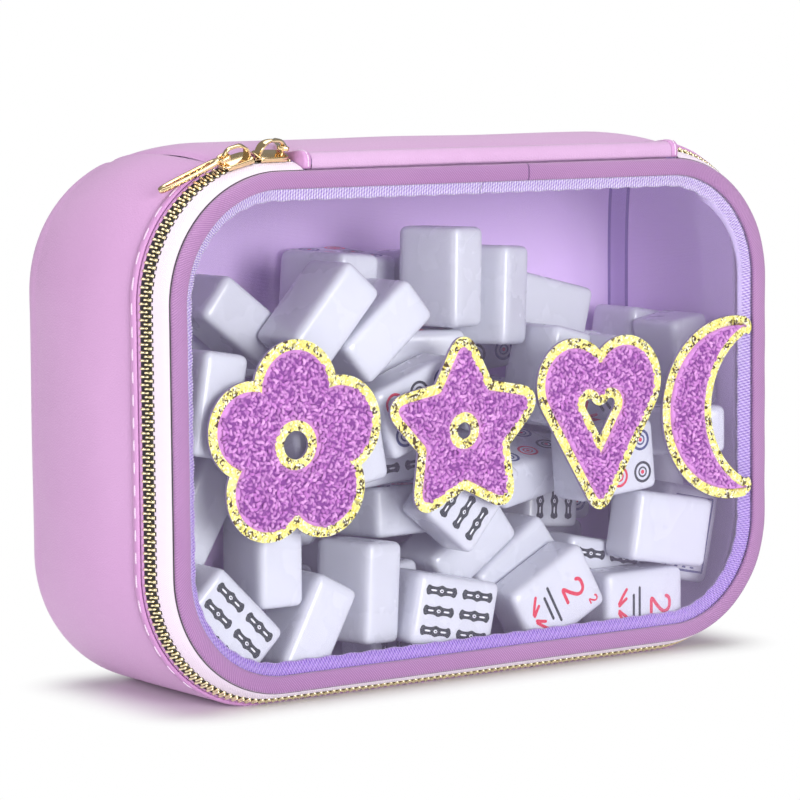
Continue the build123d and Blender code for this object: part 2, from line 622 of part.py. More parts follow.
def cavity_push(points):
    """How far each drawn-in corner is past where the inside of the case lets it be, and the way back.

    x across, y depth, z height. The inside is a rounded outline that widens towards mid depth, with
    a rounded corner into the back, a flat floor, the heap's top as its ceiling and the flap in front.
    """
    x, y, z = points.T
    skin = WALL + LINING_GAP + LINING_T
    rounding = CASE_DEPTH - BACK_ROUND
    reach = np.where(y < BULGE_DEPTH, BULGE_DEPTH - RIM_DEPTH, rounding - BULGE_DEPTH)
    fall = BULGE_OUT - np.where(y < BULGE_DEPTH, RIM_OUT, BACK_OUT)
    padded = BULGE_OUT - fall * ((np.minimum(y, rounding) - BULGE_DEPTH) / reach) ** 2
    room = np.minimum(np.interp(y, (TILE_FRONT, 9, 14, 24, 26), (0.6, 0.9, 2.2, 2.2, CORNER_R)),
                      padded - skin - TILE_CLEAR) - TILE_ROUND
    edge = CORNER_R + room
    lift = np.where(z < 0, np.minimum(room, BASE_DROP - skin - TILE_CLEAR - TILE_ROUND), room)
    qx, qz = np.abs(x) - (HALF_W + room - edge), np.abs(z) - (HALF_H + lift - edge)
    ox, oz = np.maximum(qx, 0), np.maximum(qz, 0)
    far = np.hypot(ox, oz)
    corner_zone = (qx > 0) & (qz > 0)
    side = np.where(corner_zone, far, np.maximum(qx, qz)) - edge
    gx = np.where(corner_zone, ox / np.maximum(far, 1e-6), qx > qz) * np.sign(x)
    gz = np.where(corner_zone, oz / np.maximum(far, 1e-6), qx <= qz) * np.sign(z)
    soft = BACK_ROUND - skin - TILE_ROUND
    back = y - (CASE_DEPTH - skin - TILE_CLEAR - TILE_ROUND)
    a, b = np.maximum(side + soft, 0), np.maximum(back + soft, 0)
    both = np.hypot(a, b)
    past = np.where((a > 0) & (b > 0), both - soft, np.maximum(side, back))
    use_side = np.where((a > 0) & (b > 0), a / np.maximum(both, 1e-6), side > back)
    use_back = np.where((a > 0) & (b > 0), b / np.maximum(both, 1e-6), side <= back)
    push = -np.maximum(past, 0)[:, None] * np.stack([gx * use_side, use_back, gz * use_side], axis=1)
    push[:, 1] += np.maximum(TILE_FRONT + TILE_ROUND - y, 0)
    return push


def overlap_push(d, ri, rj):
    """For pairs of turned boxes a distance d apart: the move that parts them, and their overlap.

    Separating-axis test over the 15 axes of each pair. Among the moves it prefers those in depth,
    so that the tiles seen at the window keep their places there. Overlap below zero is clearance.
    """
    half = TILE_SIZE / 2 - TILE_ROUND
    axes = [ri[:, :, k] for k in range(3)] + [rj[:, :, k] for k in range(3)]
    for a in range(3):
        for b in range(3):
            cross = np.cross(ri[:, :, a], rj[:, :, b])
            size = np.linalg.norm(cross, axis=1, keepdims=True)
            axes.append(np.where(size > 1e-3, cross / np.maximum(size, 1e-9), ri[:, :, 0]))
    axes = np.stack(axes)
    reach_i, reach_j = (np.abs(np.einsum("ank,nkm->anm", axes, turn)) @ half for turn in (ri, rj))
    reach = reach_i + reach_j + 2 * TILE_ROUND + TILE_GAP
    along = np.einsum("ank,nk->an", axes, d)
    overlap = reach - np.abs(along)
    cost = overlap * (1 + DEPTH_BIAS * (1 - np.abs(axes[:, :, 1])))
    best = cost.argmin(axis=0)
    rows = np.arange(len(d))
    axis, way = axes[best, rows], np.sign(along[best, rows] + 1e-9)
    least = overlap.min(axis=0)
    return axis * (way * np.where(least > 0, overlap[best, rows], 0))[:, None], least


def tile_corners(turns):
    """Corners of turned tiles about their middles, drawn in by the round of their edges."""
    signs = np.array([(a, b, c) for a in (-1, 1) for b in (-1, 1) for c in (-1, 1)]) / 2
    return np.einsum("nkm,cm->nck", turns, signs * (TILE_SIZE - 2 * TILE_ROUND))


def shown_heap():
    """The tiles seen at the window, eased apart from each other and from the case."""
    p, turns = [], []
    for x, depth, height, shows, slant, turn, _ in SHOWN:
        p.append((x, depth, height - HALF_H))
        turns.append(turned(2, turn) @ turned(1, -slant) @ SHOWING[shows])
    p, turns = np.array(p, dtype=float), np.array(turns)
    corners = tile_corners(turns)
    i, j = np.triu_indices(len(p), 1)
    for _ in range(EASE_STEPS):
        push, _ = overlap_push(p[j] - p[i], turns[i], turns[j])
        move = np.zeros_like(p)
        np.add.at(move, i, -push / 2)
        np.add.at(move, j, push / 2)
        wall = cavity_push((p[:, None] + corners).reshape(-1, 3)).reshape(len(p), -1, 3)
        low, high = wall.min(axis=1), wall.max(axis=1)
        p += np.clip(0.4 * move, -2, 2) + np.where(-low > high, low, high)
    return p, turns


def free_heights(p, turns, turn, spots):
    """Which of the spots a tile turned that way can take, clear of the other tiles and the case."""
    corners = tile_corners(turn[None])[0]
    wall = np.abs(cavity_push((spots[:, None] + corners).reshape(-1, 3)))
    free = wall.reshape(len(spots), -1).max(axis=1) < TILE_LEAN
    n, m = np.nonzero(np.linalg.norm(p[None] - spots[:, None], axis=2) < np.linalg.norm(TILE_SIZE))
    _, over = overlap_push(p[m] - spots[n], np.repeat(turn[None], len(n), 0), turns[m])
    np.logical_and.at(free, n, over < 0)
    return free


def settle(p, turns, k):
    """Lower one tile straight down until something stops it."""
    others = np.arange(len(p)) != k
    drops = np.arange(1, 60) * SETTLE_STEP
    spots = p[k] - drops[:, None] * np.array([0, 0, 1])
    free = free_heights(p[others], turns[others], turns[k], spots)
    stop = len(free) if free.all() else free.argmin()
    if stop:
        p[k, 2] -= drops[stop - 1]


def heap():
    """Where every tile lies: the shown ones, then the rest, each dropped to the lowest free place."""
    p, turns = shown_heap()
    kinds = [row[-1] for row in SHOWN]
    rng = np.random.default_rng(HEAP_SEED)
    tops = np.array(HEAP_TOPS, dtype=float)
    for _ in range(HEAP_TRIES):
        if len(p) == TILE_COUNT:
            break
        loose = HEAP_LOOSE if len(p) < len(SHOWN) + LOOSE_COUNT else HEAP_TIGHT
        turn = (turned(2, rng.uniform(-loose, loose))
                @ turned(0, rng.integers(0, 4) * 90 + rng.uniform(-loose, loose) / 2)
                @ turned(1, rng.integers(0, 2) * 90 + rng.uniform(-loose, loose)))
        corners = tile_corners(turn[None])[0]
        x, depth = rng.uniform(-HALF_W + 12, HALF_W - 12), rng.uniform(TILE_FRONT + 14, 86)
        heights = np.arange(-HALF_H + 7, np.interp(x, *tops.T) - corners[:, 2].max(), HEAP_STEP)
        spots = np.stack([np.full_like(heights, x), np.full_like(heights, depth), heights], axis=1)
        free = free_heights(p, turns, turn, spots)
        if free.any():
            p = np.vstack([p, spots[free.argmax()]])
            turns = np.concatenate([turns, turn[None]])
            kinds.append(FILLER_KINDS[len(kinds) % len(FILLER_KINDS)])
    for _ in range(2):
        for k in np.argsort(p[:, 2]):
            settle(p, turns, k)
    return p, turns, kinds


def tile_nodes():
    """The tiles, grouped by the kind of mark they carry."""
    block = Box(*TILE_SIZE)
    block = chamfer(block.edges(), TILE_EASE)
    groups = {}
    for place, turn, kind in zip(*heap()):
        frame = Plane(origin=(place[0], place[1] + FRONT_Y, place[2] + MID_HEIGHT),
                      x_dir=tuple(turn[:, 0]), z_dir=tuple(turn[:, 2]))
        groups.setdefault(kind, []).append(block.moved(frame.location))
    return {kind: Compound(children=tiles) for kind, tiles in groups.items()}


# ------------------------------------------------------------------ write every piece

side_gusset, top_panel, back_panel, lining = make_body()
save(side_gusset, "side_gusset")
save(top_panel, "top_panel")
save(back_panel, "back_panel")
save(lining, "lining")
save(make_tab("left"), "zip_tab_left")
save(make_tab("right"), "zip_tab_right")
save(folded_rim(), "folded_rim")
save(rear_tape(), "zip_tape_rear")
save(front_tape("left_end"), "zip_tape_top_left")
save(front_tape("right_end"), "zip_tape_top_right")
save(front_tape("flap"), "zip_tape_front")
save(teeth(False, False), "zip_teeth_rear")
save(teeth(True, False), "zip_teeth_top")
save(teeth(True, True), "zip_teeth_front")

save(binding(), "flap_binding")
save(slab(outline(-WINDOW_EDGE_IN), BINDING_T, BINDING_T + WINDOW_T), "clear_window")
save(inner_band(), "inner_band")
motifs = {"blossom": blossom(), "star": star(), "heart": (heart(), heart(0.42)), "moon": (moon(), None)}
for (motif, (outer, hole)), x in zip(motifs.items(), PATCH_X):
    backing, pile = patch(outer, hole, x)
    save(backing, f"patch_{motif}_backing")
    save(pile, f"patch_{motif}_pile")

for number in (1, 2):
    save(slider_frame(number) * slider_body(), f"slider_{number}")
    save(pull(number), f"slider_pull_{number}")

for kind, tiles in tile_nodes().items():
    save(tiles, f"tiles_{kind}")

for number in (1, 2):
    pivot = Plane(pull_pivot(number))
    print("pull", number, "hinge", [round(v, 3) for v in pivot.origin], [round(-v, 5) for v in pivot.y_dir])
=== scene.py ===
"""Soft zippered mahjong case: padded lilac leather body, clear front flap with fluffy patches on it,
a brass zip with two sliders, and a heap of tiles inside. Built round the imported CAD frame.

Shapes are worked out in millimetres and written to the meshes in metres. A depth counts backwards
from the flap's front face; an out counts outwards from the flap's edge, square to it.
"""
import bpy
import bmesh
import numpy as np
from mathutils import Matrix


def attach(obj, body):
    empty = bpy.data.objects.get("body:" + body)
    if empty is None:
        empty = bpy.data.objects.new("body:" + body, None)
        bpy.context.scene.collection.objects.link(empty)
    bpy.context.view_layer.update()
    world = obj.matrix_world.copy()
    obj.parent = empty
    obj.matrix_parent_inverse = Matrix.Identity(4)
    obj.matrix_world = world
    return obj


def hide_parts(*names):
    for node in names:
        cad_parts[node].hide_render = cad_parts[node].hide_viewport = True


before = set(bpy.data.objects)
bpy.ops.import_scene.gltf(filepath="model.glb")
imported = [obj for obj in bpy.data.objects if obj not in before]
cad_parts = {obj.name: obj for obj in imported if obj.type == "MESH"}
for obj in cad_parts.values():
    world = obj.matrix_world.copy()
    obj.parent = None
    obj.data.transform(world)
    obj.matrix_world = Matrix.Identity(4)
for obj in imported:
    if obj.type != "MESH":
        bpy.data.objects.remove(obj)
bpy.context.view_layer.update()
scene = bpy.context.scene


# ---- padded side gusset -------------------------------------------------------------------------
# The long strip that goes round both sides and the underside: smooth lilac PU leather over foam.
# It is cut flat, bent to the case's outline, and stands out in a soft bulge between its two seams.

HALF_WIDTH, HALF_HEIGHT, CORNER = 130.0, 89.0, 44.0     # the flap's outline
MIDDLE = 94.5               # the flap's middle above the ground
FRONT = -48.95              # Y of the flap's front face
QUARTER = CORNER * np.pi / 2
SIDE_RUN, TOP_RUN = 2 * (HALF_HEIGHT - CORNER), 2 * (HALF_WIDTH - CORNER)
ROUND_OUTLINE = 2 * (SIDE_RUN + TOP_RUN) + 4 * QUARTER
TOP_SEAMS = (98.15, 100.24)     # the top panel's seams, along the outline right and left of the middle
RIM_DEPTH, BULGE_DEPTH, ROUND_DEPTH, BACK_DEPTH = 18.0, 50.0, 83.0, 100.0
RIM_OUT, BULGE_OUT, BACK_OUT, BACK_ROUND = 5.5, 9.0, 5.0, 17.0
UNDERSIDE = 6.3             # how far the underside reaches below the flap's edge
GROUND_CLEAR = 0.05
BACK_SEAM = 18.9            # the back panel's seam, in from the flap's outline
SEAM_WIDTH, SEAM_DIP = 1.5, 1.1
SLACK_HIGH = 0.22


def tone(red, green, blue):
    """A colour given in 0-255 steps, as the linear values a shader takes."""
    c = np.array([red, green, blue]) / 255
    return (*np.where(c <= 0.04045, c / 12.92, ((c + 0.055) / 1.055) ** 2.4), 1.0)


def outline(s):
    """The rounded outline at arc lengths s, anticlockwise from the top's middle: the centre of the
    corner circle that carries each point (sliding along the straights) and the outward angle."""
    at = np.cumsum([0, TOP_RUN / 2, QUARTER, SIDE_RUN, QUARTER, TOP_RUN, QUARTER, SIDE_RUN, QUARTER,
                    TOP_RUN / 2])
    x = np.array([0, -1, -1, -1, -1, 1, 1, 1, 1, 0]) * TOP_RUN / 2
    z = np.array([1, 1, 1, -1, -1, -1, -1, 1, 1, 1]) * SIDE_RUN / 2
    turn = np.radians([90, 90, 180, 180, 270, 270, 360, 360, 450, 450])
    return np.interp(s, at, x), np.interp(s, at, z), np.interp(s, at, turn)


def swell(depth):
    """Out at a depth: a parabola up from the rim to the bulge, and another down to the rounding."""
    fall = np.where(depth < BULGE_DEPTH, BULGE_OUT - RIM_OUT, BULGE_OUT - BACK_OUT)
    reach = np.where(depth < BULGE_DEPTH, BULGE_DEPTH - RIM_DEPTH, ROUND_DEPTH - BULGE_DEPTH)
    return BULGE_OUT - fall * ((depth - BULGE_DEPTH) / reach) ** 2


def skin_rows(front, inset=0.0, seam=BACK_SEAM, count=(40, 16, 6)):
    """Depth, out and turn-in down one line from the rim, over the bulge and round to the back seam."""
    depth = np.linspace(front, ROUND_DEPTH, count[0])
    radius = BACK_ROUND - inset
    bend = np.linspace(0, np.pi / 2, count[1] + 1)[1:]
    out = BACK_OUT - inset - radius * (1 - np.cos(bend))
    flat = np.linspace(out[-1], -seam, count[2] + 1)[1:]
    return (np.concatenate([depth, ROUND_DEPTH + radius * np.sin(bend),
                            np.full(count[2], ROUND_DEPTH + radius)]),
            np.concatenate([swell(depth) - inset, out, flat]),
            np.concatenate([0 * depth, BACK_OUT - inset - out, BACK_OUT - inset - flat]))


def padded_skin(s, rows, inset=0.0, push=0.0):
    """The body's skin: the outline at s carried along the rows, its lower half shifted down to the
    underside, then pushed out along its own outward direction and stopped at the ground."""
    depth, out, sink = rows
    cx, cz, turn = (v[:, None] for v in outline(np.mod(s, ROUND_OUTLINE)))
    cz = cz - (0.5 - cz / SIDE_RUN) * (UNDERSIDE - inset - sink - out)
    reach = CORNER + out + push
    x, z = cx + reach * np.cos(turn), MIDDLE + cz + reach * np.sin(turn)
    return np.stack([x, FRONT + depth + 0 * x, np.maximum(z, GROUND_CLEAR + inset)], axis=-1)


def ease(value, low, high):
    """Smooth step from 0 at low to 1 at high."""
    t = np.clip((value - low) / (high - low), 0, 1)
    return t * t * (3 - 2 * t)


def seam_dip(distance):
    """Leather drawn in at a seam: a bell-shaped dip, deepest on the seam itself."""
    return -SEAM_DIP * np.exp(-(distance / SEAM_WIDTH) ** 2)


def between(first, last, count):
    """Arc lengths from seam to seam, close together beside each seam where the leather dips."""
    fine = np.array([0, 0.4, 0.8, 1.2, 1.7, 2.3, 3.2])
    return np.concatenate([first + fine, np.linspace(first + 4.5, last - 4.5, count), last - fine[::-1]])


def slack(s, t):
    """Long shallow waves of foam-backed leather, in mm, none at the edges."""
    long = np.sin(s / 31 + 1.3) * np.sin(t / 17 + 0.4)
    middling, short = np.sin(s / 19 - t / 23), np.sin(s / 11 + t / 9)
    return SLACK_HIGH * (long + 0.6 * middling + 0.4 * short)


def run_length(a, b):
    """Length run along a line at each of its points, whose two coordinates are a and b."""
    return np.concatenate([[0], np.cumsum(np.hypot(np.diff(a), np.diff(b)))])


def cut_place(s, t):
    """Where each point lies on the flat-cut piece, in mm along and across it: its UV."""
    return np.stack(np.broadcast_arrays(s, t), axis=-1)


def surface(name, sheets, sharp=None):
    """Mesh of quads over grids of points (mm). Each sheet is (points, uv, material); points may be
    stacked along a first axis. A face's outward side is its second direction crossed with its first.
    Rows that meet are welded, so a closed grid repeats its first row at its end."""
    points, quads, uvs, slots, stuffs, base = [], [], [], [], [], 0
    for grid, uv, stuff in sheets:
        nu, nv = grid.shape[-3:-1]
        flat = grid.reshape(-1, 3)
        cell = np.arange(nu * nv).reshape(nu, nv)
        quad = np.stack([cell[:-1, :-1], cell[:-1, 1:], cell[1:, 1:], cell[1:, :-1]], axis=-1)
        quad = quad.reshape(-1, 4)
        firsts = np.arange(0, len(flat), nu * nv)
        every = (quad[None] + firsts[:, None, None]).reshape(-1, 4)
        uv = np.broadcast_to(np.zeros(2) if uv is None else uv, grid.shape[:-1] + (2,))
        if stuff not in stuffs:
            stuffs.append(stuff)
        points.append(flat)
        uvs.append(uv.reshape(-1, 2)[every.ravel()])
        quads.append(every + base)
        slots.append(np.full(len(every), stuffs.index(stuff)))
        base += len(flat)
    mesh = bpy.data.meshes.new(name)
    mesh.from_pydata(np.concatenate(points) * 0.001, [], np.concatenate(quads))
    mesh.uv_layers.new(name="UVMap").data.foreach_set("uv", np.concatenate(uvs).ravel())
    for stuff in stuffs:
        mesh.materials.append(stuff)
    mesh.polygons.foreach_set("material_index", np.concatenate(slots).astype(np.int32))
    work = bmesh.new()
    work.from_mesh(mesh)
    bmesh.ops.remove_doubles(work, verts=work.verts, dist=4e-6)
    work.to_mesh(mesh)
    work.free()
    mesh.shade_smooth()
    if sharp is not None:
        mesh.set_sharp_from_angle(angle=np.radians(sharp))
    return mesh


def fit(name, body, stands_for, sheets, sharp=None):
    """Puts a made piece on its body, with its finish and the frame nodes that it stands for."""
    piece = bpy.data.objects.new(name, surface(name, sheets, sharp))
    scene.collection.objects.link(piece)
    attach(piece, body)
    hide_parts(*stands_for)
    return piece


def add(tree, kind, sockets=None, **settings):
    """One shader node: its settings, then its inputs, each a value or another node's output."""
    made = tree.nodes.new("ShaderNode" + kind)
    for key, value in settings.items():
        setattr(made, key, value)
    for key, value in (sockets or {}).items():
        if isinstance(value, bpy.types.NodeSocket):
            tree.links.new(value, made.inputs[key])
        else:
            made.inputs[key].default_value = value
    return made


def calc(tree, operation, *values):
    """One sum on shader values."""
    return add(tree, "Math", dict(enumerate(values)), operation=operation).outputs[0]


def blend(tree, amount, first, second):
    """Colour mixed from first to second."""
    return add(tree, "Mix", {0: amount, 6: first, 7: second}, data_type="RGBA").outputs[2]


def on_object(tree):
    """Place in the object's own metres."""
    return add(tree, "TexCoord").outputs["Object"]


def noise(tree, place, scale, detail=2.0):
    """Cloudy noise from 0 to 1, with about as many clouds to the metre as scale says."""
    return add(tree, "TexNoise", {"Vector": place, "Scale": scale, "Detail": detail}).outputs[0]


def fade_in(tree, value, low, high, way="LINEAR"):
    """A mask that goes from 0 to 1 as value goes from low to high."""
    return add(tree, "MapRange", {0: value, 1: low, 2: high}, interpolation_type=way).outputs[0]


def range_of(tree, mask, low, high):
    """A value that goes from low to high as the mask goes from 0 to 1."""
    return add(tree, "MapRange", {0: mask, 3: low, 4: high}).outputs[0]


def relief(tree, height, strength, depth):
    """Normals of raised detail, depth metres from its lowest to its highest."""
    return add(tree, "Bump", {"Strength": strength, "Distance": depth, "Height": height}).outputs[0]


def feed(shader, socket, source):
    """Leads a changing colour, value or normal into the shader."""
    shader.id_data.links.new(source, shader.inputs[socket])


def group(name, ins, outs):
    """An empty shader node group with named inputs (name: default) and outputs (name: kind)."""
    made = bpy.data.node_groups.new(name, "ShaderNodeTree")
    for key, value in ins.items():
        kind = "NodeSocketVector" if isinstance(value, tuple) else "NodeSocketFloat"
        made.interface.new_socket(key, in_out="INPUT", socket_type=kind).default_value = value
    for key, kind in outs.items():
        made.interface.new_socket(key, in_out="OUTPUT", socket_type="NodeSocket" + kind)
    return made, made.nodes.new("NodeGroupInput").outputs, made.nodes.new("NodeGroupOutput").inputs


def place_group(tree, made, sockets):
    """A shader node group put into a material with that material's own values."""
    return add(tree, "Group", sockets, node_tree=made).outputs


def finish(name, **sockets):
    """A material with one Principled shader; returns the material, its nodes and the shader."""
    made = bpy.data.materials.new(name)
    made.use_nodes = True
    tree = made.node_tree
    shader = tree.nodes["Principled BSDF"]
    for key, value in sockets.items():
        shader.inputs[key.replace("_", " ")].default_value = value
    return made, tree, shader


# Leather grain: rounded pebbles with soft valleys, and a slow drift of tone from dye and stretch.
grain, g_in, g_out = group("leather_grain", {"Pebbles per m": 900.0, "Drift per m": 9.0},
                           {"Height": "Float", "Drift": "Float", "Valley": "Float"})
g_place = on_object(grain)
g_wobble = add(grain, "TexNoise", {"Vector": g_place, "Scale": 260.0, "Detail": 2.0}).outputs["Color"]
g_moved = add(grain, "VectorMath", {0: g_wobble, "Scale": 0.0011}, operation="SCALE").outputs[0]
g_moved = add(grain, "VectorMath", {0: g_place, 1: g_moved}, operation="ADD").outputs[0]
g_cells = add(grain, "TexVoronoi", {"Vector": g_moved, "Scale": g_in[0]}, feature="DISTANCE_TO_EDGE")
g_pebble = fade_in(grain, g_cells.outputs[0], 0.0, 0.35, "SMOOTHSTEP")
g_fine = noise(grain, g_place, 2400.0, 3.0)
grain.links.new(calc(grain, "ADD", g_pebble, calc(grain, "MULTIPLY", g_fine, 0.5)), g_out["Height"])
grain.links.new(calc(grain, "SUBTRACT", 1.0, g_pebble), g_out["Valley"])
grain.links.new(fade_in(grain, noise(grain, g_place, g_in[1], 3.0), 0.3, 0.7), g_out["Drift"])


def leather(name, light, deep, rough=0.4, height=0.00012):
    """Smooth dyed PU leather with a fine pebble grain and a soft sheen."""
    made, tree, shader = finish(name, Coat_Weight=0.12, Coat_Roughness=0.35, Sheen_Weight=0.15,
                                Sheen_Roughness=0.5)
    marks = place_group(tree, grain, {"Pebbles per m": 1050.0, "Drift per m": 11.0})
    colour = blend(tree, marks["Drift"], deep, light)
    # Painted shade: the grain's valleys are painted darker, towards the deep tone.
    shade = calc(tree, "MULTIPLY", marks["Valley"], 0.22)
    feed(shader, "Base Color", blend(tree, shade, colour, deep))
    feed(shader, "Roughness", range_of(tree, marks["Valley"], rough, rough + 0.16))
    feed(shader, "Normal", relief(tree, marks["Height"], 0.35, height))
    return made


body_leather = leather("body_leather", tone(220, 171, 219), tone(211, 159, 210))

gusset_s = between(TOP_SEAMS[1], ROUND_OUTLINE - TOP_SEAMS[0], 290)
gusset_rows = skin_rows(RIM_DEPTH - 1.5)
gusset_line = run_length(*gusset_rows[:2])
ss, tt = gusset_s[:, None], gusset_line[None]
hem = ease(tt, 4, 22) * ease(gusset_line[-1] - tt, 0, 14)
above = ease(-np.sin(outline(np.mod(ss, ROUND_OUTLINE))[2]), 0.5, -0.2)
push = slack(ss, tt) * hem * above + above * (
    seam_dip(ss - gusset_s[0]) + seam_dip(ss - gusset_s[-1]) + seam_dip(tt - gusset_line[-1]))
gusset_skin = padded_skin(gusset_s, gusset_rows, push=push)
gusset_uv = cut_place(ss, tt)
gusset = fit("padded_gusset", "case_body", ["side_gusset"],
             [(gusset_skin, gusset_uv, body_leather)])


# ---- top panel with the rolled hinge -------------------------------------------------------------
# One more strip of the same padded leather over the top. Its front edge is folded over in a roll
# and sewn to the flap's upper edge: the bend of this roll is what lets the flap open.

FOLD_RIGHT, FOLD_LEFT = 85.6, -72.5         # X of the roll's ends
FOLD_TOP, FOLD_FRONT, FOLD_LOW = 6.2, 2.3, 0.3
FOLD_RADIUS = 3.3
# The roll's sewn-in end, which hangs behind the flap's upper edge: down its back, up its front.
TONGUE_OUT = np.array([1.8, -3.3, -3.6, -3.3, 0.2])
TONGUE_DEPTH = np.array([6.5, 6.4, 6.05, 5.75, 5.3])


def fold_line(proud=0.0):
    """Out and depth of the roll's section: up its front face, round the crest, back to the rim."""
    bend = np.linspace(0, np.pi / 2, 9)
    top, front = FOLD_TOP + proud, FOLD_FRONT - proud * 0.5
    low_out, low_depth = FOLD_LOW + np.array([0.9, 0.1, 0.3, 1.1]), front + np.array([2.4, 1.1, 0.25, 0])
    back_out = [top - 0.05, top - 0.45, top - 0.8, RIM_OUT + proud]
    back_depth = [8.0, 11.0, 14.5, RIM_DEPTH]
    return (np.concatenate([low_out, top - FOLD_RADIUS * (1 - np.sin(bend)), back_out]),
            np.concatenate([low_depth, front + FOLD_RADIUS * (1 - np.cos(bend)), back_depth]))


def on_outline(s, out, depth):
    """Points at an out and a depth off the outline: x, z = centre + (corner radius + out) * outward."""
    cx, cz, turn = outline(np.mod(s, ROUND_OUTLINE))
    reach = CORNER + out
    x, z = cx + reach * np.cos(turn), MIDDLE + cz + reach * np.sin(turn)
    return np.stack([x, FRONT + depth + 0 * x, z], axis=-1)


def puckers(s, t):
    """Small creases where the roll is gathered into its seam, strongest low on its front face."""
    uneven = s * 0.42 + 0.8 * np.sin(s * 0.09)
    return (0.10 * np.sin(uneven) + 0.07 * np.sin(s * 0.93 + 2)) * ease(t, 9, 1)


panel_s = between(-TOP_SEAMS[0], TOP_SEAMS[1], 140)
panel_rows = skin_rows(RIM_DEPTH)
panel_line = run_length(*panel_rows[:2])
ss, tt = panel_s[:, None], panel_line[None]
push = slack(ss + 40, tt) * ease(tt, 3, 25) * ease(panel_line[-1] - tt, 0, 14) + (
    seam_dip(ss - panel_s[0]) + seam_dip(ss - panel_s[-1])) + seam_dip(tt - panel_line[-1])
panel_skin = padded_skin(panel_s, panel_rows, push=push)
panel_uv = cut_place(ss, tt)

fold_s = np.linspace(-FOLD_RIGHT, -FOLD_LEFT, 150)
fold_out, fold_depth = (np.concatenate(pair) for pair in zip((TONGUE_OUT, TONGUE_DEPTH), fold_line()))
fold_t = run_length(fold_out, fold_depth)
fold_t -= fold_t[len(TONGUE_OUT)]
ss, tt = fold_s[:, None], fold_t[None]
fold_skin = on_outline(ss, fold_out[None] + 0.25 * slack(ss * 1.6, tt) * ease(fold_t[-1] - tt, 0, 6),
                       fold_depth[None] - puckers(ss, tt))
# Painted shade: the roll's leather is the body's leather painted darker, for the shade on the roll's front.
shaded_roll_leather = leather("shaded_roll_leather", tone(209, 171, 209), tone(199, 157, 199), rough=0.36, height=0.00016)
top_panel = fit("padded_top_panel", "case_body", ["top_panel"],
                [(panel_skin, panel_uv, body_leather),
                 (fold_skin, cut_place(ss, tt), shaded_roll_leather)])


# ---- back panel ----------------------------------------------------------------------------------
# The flat back: the same padded leather, sewn all round to the gusset and the top panel. Its
# middle lies a little inside the plane of its seam, and the leather dips at the seam itself.

PILLOW = 0.27               # how far the middle of the panel lies inside its seam's plane
BACK_HALF = 60.0            # about the panel's half height, which the dip at its seam is measured on


def spine(s, edge_out):
    """The level middle line that an outline closes on, one point for each point of its edge."""
    x, y, _ = on_outline(s, edge_out, 0).T
    return np.stack([np.clip(x, -CORNER, CORNER) * 0.9, y, 0 * x + MIDDLE], axis=-1)


def between_lines(first, last, t):
    """Grid from one line of points to another, as (1 - t) * first + t * last."""
    t = t[None, :, None]
    return first[:, None] * (1 - t) + last[:, None] * t


def disc(s, edge_out, t):
    """Fills the outline at an out, from its middle line to its edge."""
    return between_lines(spine(s, edge_out), on_outline(s, edge_out, 0), t)


back_s = np.linspace(0, ROUND_OUTLINE, 241)
back_t = np.linspace(0, 1, 26) ** 0.6
back_skin = disc(back_s, -BACK_SEAM, back_t)
back_skin[..., 1] = FRONT + BACK_DEPTH - PILLOW * (1 - back_t ** 6) + seam_dip((1 - back_t) * BACK_HALF)
back_panel = fit("padded_back_panel", "case_body", ["back_panel"],
                 [(back_skin[:, ::-1], None, body_leather)])


# ---- folded rim and its stitches -----------------------------------------------------------------
# The gusset's front edge is turned over a thin cord and top-stitched to the rear zip tape with a
# pale polyester thread; the row of long stitches runs just behind the roll.

ZIP_SLOPE = np.radians(22)  # the tapes lean outwards by this from the case's depth
BINDING_T = 1.7
END_TURN = np.radians(4)    # what the zip leaves bare of the last corner
ZIP_START, ZIP_END = 76.0, ROUND_OUTLINE - TOP_RUN / 2 - END_TURN * CORNER      # along the outline
RIM_ROLL = 1.55
RIM_AT = (5.5, 16.6)        # out and depth of the cord's middle
STITCH, STITCH_GAP = 5.0, 2.6


def zip_line(run, across=0.0):
    """Out and depth of a point on the zip's slope: run along the tape, across off its outer face."""
    return (run * np.sin(ZIP_SLOPE) + across * np.cos(ZIP_SLOPE),
            BINDING_T + run * np.cos(ZIP_SLOPE) - across * np.sin(ZIP_SLOPE))


rim_s = np.linspace(ZIP_START, ZIP_END, 420)
bend = np.linspace(0, 2 * np.pi, 17)
blunt = np.clip(np.minimum(rim_s - ZIP_START, ZIP_END - rim_s), 0, 1)[:, None]     # closes the ends
rim_points = on_outline(rim_s[:, None], RIM_AT[0] + blunt * RIM_ROLL * 0.62 * np.cos(bend),
                        RIM_AT[1] - blunt * RIM_ROLL * 1.25 * np.sin(bend))
rim_points[..., 2] = np.maximum(rim_points[..., 2], GROUND_CLEAR)
hem_leather = leather("hem_leather", tone(206, 152, 202), tone(190, 134, 188), rough=0.42)
thread, tree, shader = finish("pale_thread", Roughness=0.7, Sheen_Weight=0.4)
twist = add(tree, "TexWave", {"Vector": on_object(tree), "Scale": 900.0, "Distortion": 2.0},
            bands_direction="DIAGONAL").outputs[0]
feed(shader, "Base Color", blend(tree, twist, tone(226, 190, 226), tone(250, 232, 250)))
feed(shader, "Normal", relief(tree, twist, 1.0, 0.0001))


def stitches(s, out, depth, length=STITCH, width=0.34, high=0.3):
    """One flattened thread per place s along the outline, rising out of the leather and back in."""
    t = np.linspace(-1, 1, 7)
    turn = np.linspace(0, 2 * np.pi, 7)
    arch = np.sqrt(np.clip(1 - t ** 2, 0, 1))
    at = s[:, None, None] + (t * length / 2)[None, :, None] + 0 * turn
    arch = arch[None, :, None]
    return on_outline(at, out - high * 0.5 + high * arch * (0.6 + 0.6 * np.cos(turn)) + 0 * at,
                      depth + width * arch ** 0.5 * np.sin(turn) + 0 * at)


